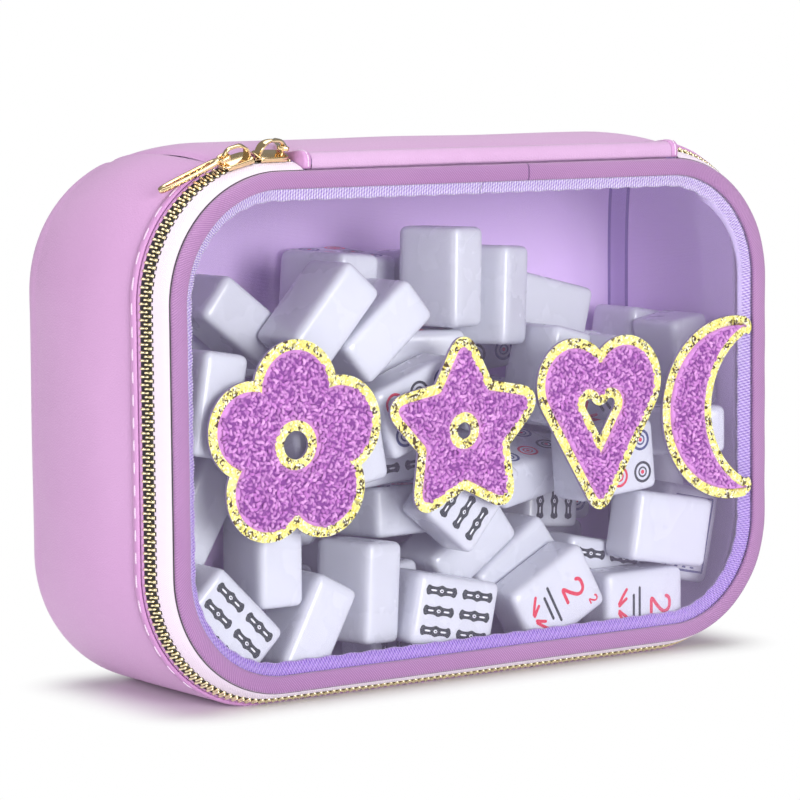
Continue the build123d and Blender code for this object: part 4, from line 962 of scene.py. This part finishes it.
PATCH_DEPTH = 0.5           # where pile and backing meet, from the flap's front face
PILE_BASE, BACKING_T, BORDER = 1.45, 1.2, 3.6
PATCH_HEIGHT = -4.0         # the patches' middles, from the flap's middle
PATCH_X = (-81.5, -10.5, 50.5, 114.0)
LOOP_STEP, LOOP_R, YARN_R = 1.02, 0.78, 0.54
LOOP_TRIES, LOOPS_TRIED = 14000, 9000       # places drawn at random, and how many of them are tried
LOOP_FOOT = 0.9             # where the loops stand, above the backing
SATIN = 1.3                 # width of the plain stitched rim round the pile

pile, tree, shader = finish("orchid_pile", Roughness=0.8, Sheen_Weight=0.25, Sheen_Roughness=0.5,
                            Sheen_Tint=tone(240, 190, 245))
own, lift = coords(tree, on_cut(tree))[:2]       # a loop's own tone, and the height above the bed
place = on_object(tree)
fibre, patchy = noise(tree, place, 1600.0), noise(tree, place, 260.0)
# Painted shade: the pile is painted darker low down near its bed and paler on the tops of its loops.
bright = blend(tree, own, tone(188, 114, 196), tone(226, 166, 228))
uneven = calc(tree, "MULTIPLY_ADD", fibre, 0.3, calc(tree, "MULTIPLY_ADD", patchy, 0.9, -0.6))
deep = calc(tree, "ADD", lift, uneven)
feed(shader, "Base Color", blend(tree, fade_in(tree, deep, 0.1, 0.95), tone(126, 64, 142), bright))
feed(shader, "Normal", relief(tree, fibre, 0.5, 0.0003))

glitter, tree, shader = finish("gold_glitter", Coat_Weight=0.4, Coat_Roughness=0.15)
place = on_object(tree)
flakes, clumps = (add(tree, "TexVoronoi", {"Vector": place, "Scale": scale}).outputs["Color"]
                  for scale in (1500.0, 520.0))
shine, clump = (add(tree, "SeparateColor", {0: cells}).outputs for cells in (flakes, clumps))
# Painted glints: a few flakes are painted near white.
sparkle = fade_in(tree, shine[0], 0.72, 0.98)
fleck = calc(tree, "MULTIPLY", fade_in(tree, clump[1], 0.62, 0.7),
             fade_in(tree, shine[1], 0.3, 0.5))
gold_mix = blend(tree, shine[2], tone(222, 208, 88), tone(246, 242, 164))
gold_mix = blend(tree, fleck, gold_mix, tone(70, 48, 20))
feed(shader, "Base Color", blend(tree, sparkle, gold_mix, tone(255, 254, 236)))
feed(shader, "Roughness", range_of(tree, shine[1], 0.25, 0.6))
feed(shader, "Metallic", calc(tree, "MULTIPLY", sparkle, 0.5))
feed(shader, "Normal", relief(tree, shine[0], 0.6, 0.0003))
backing_felt, tree, shader = finish("backing_felt", Roughness=0.9)
fuzz = noise(tree, on_object(tree), 900.0, 3.0)
feed(shader, "Base Color", blend(tree, fuzz, tone(140, 128, 160), tone(170, 158, 190)))


def directions(turn):
    """Unit directions at angles."""
    return np.stack([np.cos(turn), np.sin(turn)], axis=-1)


def ray_reach(points, turn, grow):
    """Distance from the middle, in direction turn, of an outline grown outwards (grow > 0) or a hole
    drawn in (grow < 0): the furthest, or nearest, crossing with a disc of that size on any point."""
    ahead = directions(turn)
    forward = ahead @ points.T
    aside = np.abs(ahead[:, :1] * points[None, :, 1] - ahead[:, 1:] * points[None, :, 0])
    touch = aside <= abs(grow)
    span = np.sqrt(np.clip(grow ** 2 - aside ** 2, 0, None))
    if grow > 0:
        return np.where(touch & (forward > 0), forward + span, 0).max(axis=1)
    return np.where(touch & (forward > 0), forward - span, 99).min(axis=1)


def heart_line(turn, size=1.0):
    """Two round lobes and the tangents down to the point, as distances along rays: the furthest of
    the crossings with both circles and with the kite between them."""
    lobe, x, z, tip = 13.2 * size, 11.8 * size, 13.0 * size, 31.0 * size
    reach = np.zeros_like(turn)
    for side in (1, -1):
        forward = np.cos(turn) * side * x + np.sin(turn) * z
        aside = np.cos(turn) * z - np.sin(turn) * side * x
        chord = np.sqrt(np.clip(lobe ** 2 - aside ** 2, 0, None))
        reach = np.maximum(reach, np.where(np.abs(aside) < lobe, forward + chord, 0))
    span = np.hypot(x, z + tip)
    lean = np.arctan2(z + tip, x) - np.arcsin(lobe / span)
    normal = np.array([np.sin(lean), -np.cos(lean)])
    down = np.abs(np.cos(turn)) * normal[0] + np.sin(turn) * normal[1]
    straight = normal[1] * -tip / np.maximum(down, 1e-3)
    touch = np.sqrt(span ** 2 - lobe ** 2) * np.array([np.cos(lean), np.sin(lean)]) - [0, tip]
    low = np.sin(turn) < touch[1] / np.hypot(*touch)
    return np.where(low & (down > 0), np.minimum(straight, 30.2 * size), np.maximum(reach, 8 * size))


def soften(reach, steps):
    """Runs a short averaging window along a closed outline, which eases its corners."""
    window = np.ones(2 * steps + 1) / (2 * steps + 1)
    return np.convolve(np.concatenate([reach[-steps - 1:-1], reach, reach[1:steps + 1]]), window, "valid")


def crescent(grow):
    """The crescent's edge once round, grown outwards with round horns: up its outer arc, round the
    upper horn, down its inner arc and round the lower one; and the middle line that it closes on."""
    outer_r, inner_r, apart, horn_x, horn_z = 30.5, 34.0, 19.5, 5.2, 29.6
    horn, inner_horn = np.arctan2(horn_z, horn_x), np.arctan2(horn_z, horn_x - apart)
    outside = outer_r * directions(np.linspace(2 * np.pi - horn, horn, 121))
    away = directions(np.linspace(2 * np.pi - inner_horn, inner_horn, 121))
    inside = [apart, 0] + inner_r * away
    cap = directions(np.linspace(horn, inner_horn - np.pi, 14)[1:-1])
    tip, flip = np.array([horn_x, horn_z]), np.array([1, -1])
    edge = np.concatenate([outside * (1 + grow / outer_r), tip + cap * grow,
                           (inside - away * grow)[::-1], (tip + cap[::-1] * grow) * flip])
    middle = (outside + inside) / 2
    middle = np.concatenate([middle, tip + 0 * cap, middle[::-1], (tip + 0 * cap) * flip])
    return np.vstack([edge, edge[:1]]), np.vstack([middle, middle[:1]])


def blossom_line(turn, petal=13.5, reach=19.0, middle=16.0):
    """Five round petals about a disc: the furthest crossing of each ray with their circles."""
    edge = np.full_like(turn, middle)
    for k in range(5):
        off_axis = turn - np.radians(90 + 72 * k)
        forward, aside = reach * np.cos(off_axis), reach * np.sin(off_axis)
        chord = np.sqrt(np.clip(petal ** 2 - aside ** 2, 0, None))
        edge = np.maximum(edge, np.where((np.abs(aside) < petal) & (forward > 0), forward + chord, 0))
    return edge


def star_line(turn, point=32.0, notch=17.0, blunt=30.6):
    """Five points with straight sides: where each ray crosses the line from a point to its notch."""
    half = np.radians(36)
    fold = np.abs(np.mod(turn - np.radians(90) + half, 2 * half) - half)
    width = point * np.sin(fold) + notch * np.sin(half - fold)
    return np.minimum(point * notch * np.sin(half) / width, blunt)


TURNS = np.radians(90) + np.linspace(0, 2 * np.pi, 241)
MOTIFS = {"blossom": (blossom_line(TURNS), 8.5), "star": (soften(star_line(TURNS), 3), 6.5),
          "heart": (soften(heart_line(TURNS), 2), soften(heart_line(TURNS, 0.42), 2)), "moon": (None, None)}


def pile_bed(edge, hole, spined):
    """Domed bed over the ring between hole and edge: flat across, quarter-rounded at its rims. On a
    motif with no hole, the ring closes on its middle line."""
    near = np.array([0.0, 0.02, 0.05, 0.08, 0.12, 0.17, 0.3, 0.5])
    t = np.array([0, *near, 0.7, 0.83, 0.88, 0.92, 0.95, 0.98, 1.0, 1.0])
    away = np.clip(np.minimum(1 - t, 1.0 if spined else t) * 5, 0, 1)
    dome = PILE_BASE * np.sqrt(1 - (1 - away) ** 2)
    dome[-1] = 0
    if not spined:
        dome[0] = 0
    return between_lines(hole, edge, t), dome


def yarn_loops(places, rng, rise):
    """Loops of yarn standing in the pile: arcs of a small circle, each in its own leaning plane."""
    n = len(places)
    sweep = np.linspace(-0.6, np.pi + 0.6, 8)
    ring = np.linspace(0, 2 * np.pi, 6)
    lean, face = rng.uniform(-1.25, 1.25, n), rng.uniform(0, 2 * np.pi, n)
    size = LOOP_R * rng.uniform(0.7, 1.25, n)
    along = np.stack([np.cos(face), np.sin(face), 0 * face], axis=-1)
    up = np.stack([-np.sin(face) * np.sin(lean), np.cos(face) * np.sin(lean), np.cos(lean)], axis=-1)
    side = np.cross(along, up)
    radial = np.cos(sweep)[:, None] * along[:, None] + np.sin(sweep)[:, None] * up[:, None]
    tuft = 0.35 * np.sin(places[:, 0] * 1.3 + 1) * np.sin(places[:, 1] * 1.5) + rng.uniform(-0.15, 0.15, n)
    middle = np.column_stack([places, rise + tuft])[:, None] + radial * size[:, None, None]
    thick = YARN_R * np.array([0.4, 0.85, 1.05, 1.15, 1.15, 1.05, 0.85, 0.4])
    round_yarn = np.cos(ring)[:, None] * radial[:, :, None] + np.sin(ring)[:, None] * side[:, None, None]
    return middle[:, :, None] + thick[:, None, None] * round_yarn


def spaced(candidates, step):
    """Keeps candidates one by one while they stay a step away from all those kept before."""
    kept = np.empty((0, 2))
    for point in candidates:
        if len(kept) == 0 or (np.hypot(*(kept - point).T) > step).all():
            kept = np.vstack([kept, point])
    return kept


def on_window(flat, forward):
    """Patch places (x, height, forward of the backing's face) as points on the window's front."""
    x, height = flat[..., 0], MIDDLE + PATCH_HEIGHT + flat[..., 1]
    return np.stack([x, FRONT + PATCH_DEPTH - forward + 0 * x, height], axis=-1)


def loop_places(edge, hole, spined, rng):
    """Random places over the ring, as thick where it is narrow as where it is wide, clear of its
    satin rims and a step from each other."""
    width = np.linalg.norm(edge - hole, axis=1)
    pick = rng.integers(0, len(edge), LOOP_TRIES)
    pick = pick[rng.uniform(0, width.max(), LOOP_TRIES) < width[pick]]
    t = rng.uniform(0, 1, len(pick))
    margin = SATIN / np.maximum(width[pick], 0.1)
    good = (t < 1 - margin) & (t > (0 if spined else margin))
    places = hole[pick] * (1 - t[:, None]) + edge[pick] * t[:, None]
    return spaced(places[good][:LOOPS_TRIED], LOOP_STEP)


rng = np.random.default_rng(11)
for (motif, (edge, hole)), patch_x in zip(MOTIFS.items(), PATCH_X):
    spined = edge is None
    if spined:
        edge, hole = crescent(0.0)
        wide_edge, wide_hole = crescent(BORDER)
    else:
        rays = directions(TURNS)
        edge, hole = edge[:, None] * rays, np.broadcast_to(hole, TURNS.shape)[:, None] * rays
        wide_edge = ray_reach(edge, TURNS, BORDER)[:, None] * rays
        wide_hole = np.clip(ray_reach(hole, TURNS, -BORDER), 1.2, None)[:, None] * rays
    shift = np.array([patch_x, 0])
    loops = yarn_loops(loop_places(edge, hole, spined, rng), rng, LOOP_FOOT)
    lift = np.clip((loops[..., 2] - 0.7) / 1.7, 0, 1)
    loop_uv = cut_place(rng.uniform(0, 1, len(lift))[:, None, None], lift)
    flat, dome = pile_bed(edge, hole, spined)
    across = np.linalg.norm(flat - edge[:, None], axis=-1)
    if not spined:
        across = np.minimum(across, np.linalg.norm(flat - hole[:, None], axis=-1))
    # The bed is pale on its satin rim and painted dark inside it, as painted shade under the loops.
    bed_uv = cut_place(0.5, 0.9 - 0.8 * ease(across, SATIN - 0.3, SATIN + 0.5))
    fit(f"patch_{motif}_yarn", "flap", [f"patch_{motif}_pile"],
        [(on_window(flat + shift, dome)[:, ::-1], bed_uv[:, ::-1], pile),
         (on_window(loops[..., :2] + shift, loops[..., 2]), loop_uv, pile)])
    top = on_window(between_lines(wide_hole, wide_edge, np.array([0, 0, 0.5, 1, 1])) + shift,
                    np.array([-BACKING_T, 0, 0.02, 0, -BACKING_T]))
    fit(f"patch_{motif}_glitter", "flap", [f"patch_{motif}_backing"],
        [(top[:, 1:4][:, ::-1], None, glitter), (top[:, :2][:, ::-1], None, backing_felt),
         (top[:, 3:][:, ::-1], None, backing_felt), (top[:, [0, 4]], None, backing_felt)], sharp=40)


# ---- tiles ---------------------------------------------------------------------------------------
# Household-size tiles of white melamine, moulded and tumbled so that every edge is softly rounded.
# Marks are cut into one broad face and filled with paint: sticks, dots, a digit, or a plain frame.

TILE = np.array([36.0, 18.0, 26.0])         # long, thick, wide
TILE_ROUND = 2.9
MARK_PROUD = 0.03
SECOND_COAT, THIRD_COAT = 2.6 * MARK_PROUD, 4.2 * MARK_PROUD
# A tile's opposite sides count as one direction, the one that leans towards this odd vector.
HALF_SPACE = np.array([0.011, 0.7, 0.713])

white_tile, tree, shader = finish("tile_melamine", Coat_Weight=0.25, Coat_Roughness=0.15,
                                  Subsurface_Weight=0.06, Subsurface_Radius=(0.004, 0.004, 0.005))
cloudy = noise(tree, on_object(tree), 60.0, 3.0)
feed(shader, "Base Color", blend(tree, cloudy, tone(206, 209, 221), tone(217, 220, 231)))
feed(shader, "Roughness", range_of(tree, cloudy, 0.2, 0.34))
paints = {}
for name, colour in (("green", tone(10, 30, 28)), ("red", tone(214, 26, 58)),
                     ("blue", tone(38, 56, 112)), ("white", tone(236, 238, 244))):
    paints[name], tree, shader = finish("mark_paint_" + name)
    specks = noise(tree, on_object(tree), 700.0)
    worn = (*(0.85 * v + 0.1 for v in colour[:3]), 1.0)
    feed(shader, "Base Color", blend(tree, calc(tree, "MULTIPLY", specks, 0.25), colour, worn))
    feed(shader, "Roughness", range_of(tree, specks, 0.3, 0.6))


def tile_forms():
    """Rounded box, one grid for each of its six sides: each point of a cube is drawn back to the
    box shrunk by the edge radius, then moved out by that radius along the line between the two."""
    lean = np.tanh(np.linspace(-1, 1, 13) * 1.9) / np.tanh(1.9)
    a, b = np.meshgrid(lean, lean, indexing="ij")
    sides = []
    for axis in range(3):
        for sign in (1, -1):
            cube = np.empty(a.shape + (3,))
            cube[..., axis] = sign
            cube[..., (axis + 1) % 3], cube[..., (axis + 2) % 3] = (a, b) if sign < 0 else (b, a)
            point = cube * TILE / 2
            core = np.clip(point, -TILE / 2 + TILE_ROUND, TILE / 2 - TILE_ROUND)
            away = point - core
            sides.append(core + away / np.linalg.norm(away, axis=-1, keepdims=True) * TILE_ROUND)
    return sides


def loose_parts(node):
    """The corners of the triangles of each loose part of a node, in mm. Every point takes the lowest
    label in its triangles, over and over, until each part has one label."""
    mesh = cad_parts[node].data
    co = np.empty(len(mesh.vertices) * 3)
    mesh.vertices.foreach_get("co", co)
    spots, owner = np.unique(np.round(co.reshape(-1, 3) * 1e6), axis=0, return_inverse=True)
    mesh.calc_loop_triangles()
    tri = np.empty(len(mesh.loop_triangles) * 3, dtype=np.int32)
    mesh.loop_triangles.foreach_get("vertices", tri)
    tri = owner.ravel()[tri].reshape(-1, 3)
    label = np.arange(len(spots))
    while True:
        fresh = label.copy()
        np.minimum.at(fresh, tri.ravel(), np.repeat(label[tri].min(axis=1), 3))
        if (fresh == label).all():
            break
        label = fresh
    return [spots[tri[label[tri[:, 0]] == part]] / 1e3 for part in np.unique(label)]


def tile_place(corners):
    """Middle and axes (long, thick, wide; marked face towards the front) of the tile that a part's
    triangles draw: its largest pair of flat sides gives the thick axis, the next the wide one."""
    cross = np.cross(corners[:, 1] - corners[:, 0], corners[:, 2] - corners[:, 0])
    area = np.linalg.norm(cross, axis=1)
    way = cross / np.maximum(area[:, None], 1e-9)
    way *= np.where(way @ HALF_SPACE < 0, -1, 1)[:, None]
    sides, index = np.unique(np.round(way, 1), axis=0, return_inverse=True)
    total = np.bincount(index.ravel(), weights=area)
    mean = np.stack([np.bincount(index.ravel(), weights=area * way[:, k]) for k in range(3)], axis=1)
    thick = mean[total.argmax()]
    thick = thick / np.linalg.norm(thick)
    wide = mean[np.where(np.abs(sides @ thick) < 0.35, total, 0).argmax()]
    wide = wide - thick * (wide @ thick)
    wide /= np.linalg.norm(wide)
    if thick[1] - 0.6 * thick[2] < 0:
        thick = -thick
    axes = np.stack([np.cross(thick, wide), thick, wide])
    reach = corners.reshape(-1, 3) @ axes.T
    return (reach.min(axis=0) + reach.max(axis=0)) / 2 @ axes, axes


def stroke(path, width, closed=False, proud=MARK_PROUD):
    """A painted line: a low ridge carried along a flat path, its ends drawn in to half rounds."""
    at = run_length(*path.T)
    width = np.broadcast_to(width, at.shape).astype(float)
    if closed:
        ahead = np.gradient(np.vstack([path[-2:-1], path, path[1:2]]), axis=0)[1:-1]
    else:
        near_end = np.minimum(at, at[-1] - at) / (width / 2)
        width = width * np.sqrt(np.clip(1 - (1 - np.clip(near_end, 0, 1)) ** 2, 0, 1))
        ahead = np.gradient(path, axis=0)
    ahead = ahead / np.maximum(np.linalg.norm(ahead, axis=1, keepdims=True), 1e-9)
    side = np.stack([-ahead[:, 1], ahead[:, 0]], axis=-1)
    across = np.array([-1, -0.8, 0, 0.8, 1])
    flat = path[:, None] + side[:, None] * (across[None, :, None] * width[:, None, None] / 2)
    return raised(flat, np.array([-0.6, 1.0, 1.6, 1.0, -0.6]) * proud)


def ring(x, z, radius, count=25):
    """A closed circle of points."""
    return [x, z] + radius * directions(np.linspace(0, 2 * np.pi, count))


def line(*points, step=0.5):
    """A path through points in straight runs, divided evenly."""
    points = np.array(points, float)
    at = run_length(*points.T)
    fine = np.linspace(0, at[-1], max(int(at[-1] / step), 4) + 1)
    return np.stack([np.interp(fine, at, points[:, k]) for k in (0, 1)], axis=-1)


def smooth_line(*points):
    """The same with its corners cut three times, so that it bends softly."""
    p = np.array(points, float)
    for _ in range(3):
        cut = np.stack([0.75 * p[:-1] + 0.25 * p[1:], 0.25 * p[:-1] + 0.75 * p[1:]], axis=1)
        p = np.concatenate([p[:1], cut.reshape(-1, 2), p[-1:]])
    return p


DIGITS = (((-1.3, 1.2), (-0.9, 2.4), (0.9, 2.4), (1.5, 0.9), (0.2, -0.8), (-1.4, -2.2), (0.2, -2.2),
           (1.6, -2.2)),                                                                    # 2
          ((-1.3, 1.7), (-0.2, 2.6), (1.5, 2.1), (1.2, 0.5), (-0.1, 0.2), (1.3, -0.1), (1.7, -1.8),
           (0, -2.6), (-1.5, -1.7)),                                                        # 3
          ((1.4, 2.3), (-1.0, 2.3), (-1.2, 0.4), (0.6, 0.7), (1.6, -0.6), (0.9, -2.2), (-0.4, -2.5),
           (-1.4, -1.7)))                                                                   # 5


def bar(x, z, half, width, proud=MARK_PROUD):
    """A straight painted bar about a middle."""
    return stroke(line((x - half, z), (x + half, z)), width, proud=proud)


def bamboo_marks():
    """Six jointed sticks in two rows: knobs at the ends and the middle, a pale slit in each half."""
    for x in (-8.0, 8.0):
        for z in (-7.2, 0.0, 7.2):
            stick = line((x - 6.9, z), (x + 6.9, z), step=0.4)
            t = (stick[:, 0] - x) / 6.9
            knobs = np.exp(-((np.abs(t) - 0.88) / 0.15) ** 2) + 0.8 * np.exp(-(t / 0.18) ** 2)
            yield stroke(stick, 3.0 + 1.7 * knobs), "green"
            for half in (-1, 1):
                slit = line((x + half * 2.1, z), (x + half * 4.9, z))
                yield stroke(slit, 0.75, proud=SECOND_COAT), "white"
            yield bar(x, z, 0.9, 1.5, SECOND_COAT), "white"
            yield bar(x, z, 0.5, 0.6, THIRD_COAT), "green"


def dot_marks():
    """Six ringed dots in two rows, blue, red and green."""
    for k, x in enumerate((-11.0, 0.0, 11.0)):
        for j, z in enumerate((-6.0, 6.0)):
            hue = ("blue", "red", "green")[(k + j) % 3]
            yield stroke(ring(x, z, 3.5), 1.1, closed=True), hue
            yield stroke(ring(x, z, 1.7), 0.7, closed=True), hue
            yield stroke(ring(x, z, 0.4, 9), 0.9, closed=True), "red"


def number_marks(*digit):
    """A large red digit over two bars and a small leaf spray, with the digit again in one corner."""
    digit = smooth_line(*digit)
    yield stroke(digit[:, ::-1] * [1.9, -2.28] + [6.5, 0], 1.5), "red"
    yield stroke(digit[:, ::-1] * [0.75, -0.75] + [12.8, -8.2], 0.75), "red"
    for x, reach in ((-3.2, 7.5), (-6.0, 5.0)):
        yield stroke(line((x, -reach), (x, reach)), 1.2), "green"
    for k in (-2, -1, 1, 2):
        yield stroke(smooth_line((-13.2, k * 0.6), (-11.2, k * 2.2), (-9.0, k * 3.6)), 1.3), "red"


def frame_marks():
    """A plain double frame with short bars between its lines."""
    for a, b, width in ((14.0, 9.2, 0.9), (11.4, 6.6, 0.7)):
        yield stroke(line((-a, -b), (a, -b), (a, b), (-a, b), (-a, -b)), width, closed=True), "blue"
    for x in np.linspace(-9.6, 9.6, 5):
        for z in (-7.9, 7.9):
            yield bar(x, z, 1.2, 0.8), "blue"
    for z in (-4.0, 0.0, 4.0):
        for x in (-12.7, 12.7):
            yield stroke(line((x, z - 1.1), (x, z + 1.1)), 0.8), "blue"


tile_sides = tile_forms()
# The faces that the tiles of each kind take in turn.
faces = {"bamboo": [list(bamboo_marks())], "blank": [()], "dots": [list(dot_marks())],
         "frame": [list(frame_marks())], "number": [list(number_marks(*digit)) for digit in DIGITS]}
for kind, marks in faces.items():
    sheets = []
    for index, corners in enumerate(loose_parts("tiles_" + kind)):
        middle, axes = tile_place(corners)
        sheets += [(middle + side @ axes, None, white_tile) for side in tile_sides]
        for form, hue in marks[index % len(marks)]:
            point = np.stack([form[..., 0], -TILE[1] / 2 - form[..., 2], form[..., 1]], axis=-1)
            sheets.append((middle + point @ axes, None, paints[hue]))
    fit(f"tiles_{kind}_melamine", "case_body", ["tiles_" + kind], sheets)


# ---- floor, light and camera ---------------------------------------------------------------------
# A pale studio table with a faint reflection, soft light from large panels, a white surround.
# The table fades into the white close round the case.

SHADOW_BOX, SHADOW_FADE = (0.11, 0.03), 0.034       # metres: the table fades to white past this box
TABLE_HALF, TABLE_BELOW = 4000, 0.02
WORLD_LIGHT = 0.25

pale_table, tree, shader = finish("pale_table", Specular_IOR_Level=0.35, Base_Color=(0.93, 0.93, 0.935, 1))
place = on_object(tree)
feed(shader, "Roughness", range_of(tree, noise(tree, place, 40.0, 3.0), 0.2, 0.28))
glow = add(tree, "Emission", {"Color": (1, 1, 1, 1), "Strength": 1.0}).outputs[0]
rays = add(tree, "LightPath").outputs
seen = calc(tree, "MAXIMUM", calc(tree, "MAXIMUM", rays["Is Camera Ray"], rays["Is Glossy Ray"]),
            rays["Is Transmission Ray"])
away_x, away_y = (past(tree, calc(tree, "ABSOLUTE", axis), limit)
                  for axis, limit in zip(coords(tree, place), SHADOW_BOX))
fade = fade_in(tree, slant_way(tree, away_x, away_y), 0.0, SHADOW_FADE, "SMOOTHSTEP")
share = calc(tree, "MULTIPLY", fade, seen)
mixed = add(tree, "MixShader", {0: share, 1: shader.outputs[0], 2: glow}).outputs[0]
feed(tree.nodes["Material Output"], "Surface", mixed)
reach = np.linspace(-TABLE_HALF, TABLE_HALF, 9)
fx, fy = np.meshgrid(reach, reach, indexing="ij")
top = np.stack([fy, fx, 0 * fx - TABLE_BELOW], axis=-1)
table = bpy.data.objects.new("table_top", surface("table_top", [(top, None, pale_table)]))
scene.collection.objects.link(table)

world = bpy.data.worlds.new("studio")
scene.world = world
world.use_nodes = True
tree = world.node_tree
rays = add(tree, "LightPath").outputs
seen = calc(tree, "MAXIMUM", rays["Is Camera Ray"], rays["Is Transmission Ray"])
sky = tree.nodes["Background"]
feed(sky, "Strength", calc(tree, "MULTIPLY_ADD", seen, 1.0 - WORLD_LIGHT, WORLD_LIGHT))
sky.inputs["Color"].default_value = (1, 1, 1, 1)


def standing(right, up, back, place):
    """Matrix of a lamp or camera that stands at a place and looks away from its back."""
    return Matrix(np.vstack([np.column_stack([right, up, back, place]), [0, 0, 0, 1]]).tolist())


for name, place, aim, size, power in (
        ("left_panel", (-2.0, -0.2, 0.75), (0, 0, 0.08), 1.2, 17.0),
        ("front_panel", (-0.25, -2.1, 0.42), (0, 0, 0.1), 1.0, 43.0),
        ("top_panel_light", (0.1, 0.1, 1.6), (0, 0, 0.1), 1.3, 12.6)):
    lamp = bpy.data.lights.new(name, "AREA")
    lamp.size, lamp.energy = size, power
    holder = bpy.data.objects.new(name, lamp)
    way = np.array(aim) - np.array(place)
    way = way / np.linalg.norm(way)
    side = np.cross(way, [0, 0, 1.0]) if abs(way[2]) < 0.99 else np.array([1.0, 0, 0])
    side = side / np.linalg.norm(side)
    holder.matrix_world = standing(side, np.cross(side, way), -way, place)
    scene.collection.objects.link(holder)

camera = bpy.data.objects.new("camera", bpy.data.cameras.new("camera"))
camera.data.sensor_width, camera.data.lens = 36.0, 156.905
camera.data.clip_end = 20
camera.matrix_world = standing((0.814838, -0.579621, -0.008855), (0.065223, 0.076491, 0.994935),
                               (-0.576008, -0.811288, 0.100132), (-0.733763, -1.028320, 0.224016))
scene.collection.objects.link(camera)
scene.camera = camera
scene.view_settings.view_transform = "Standard"
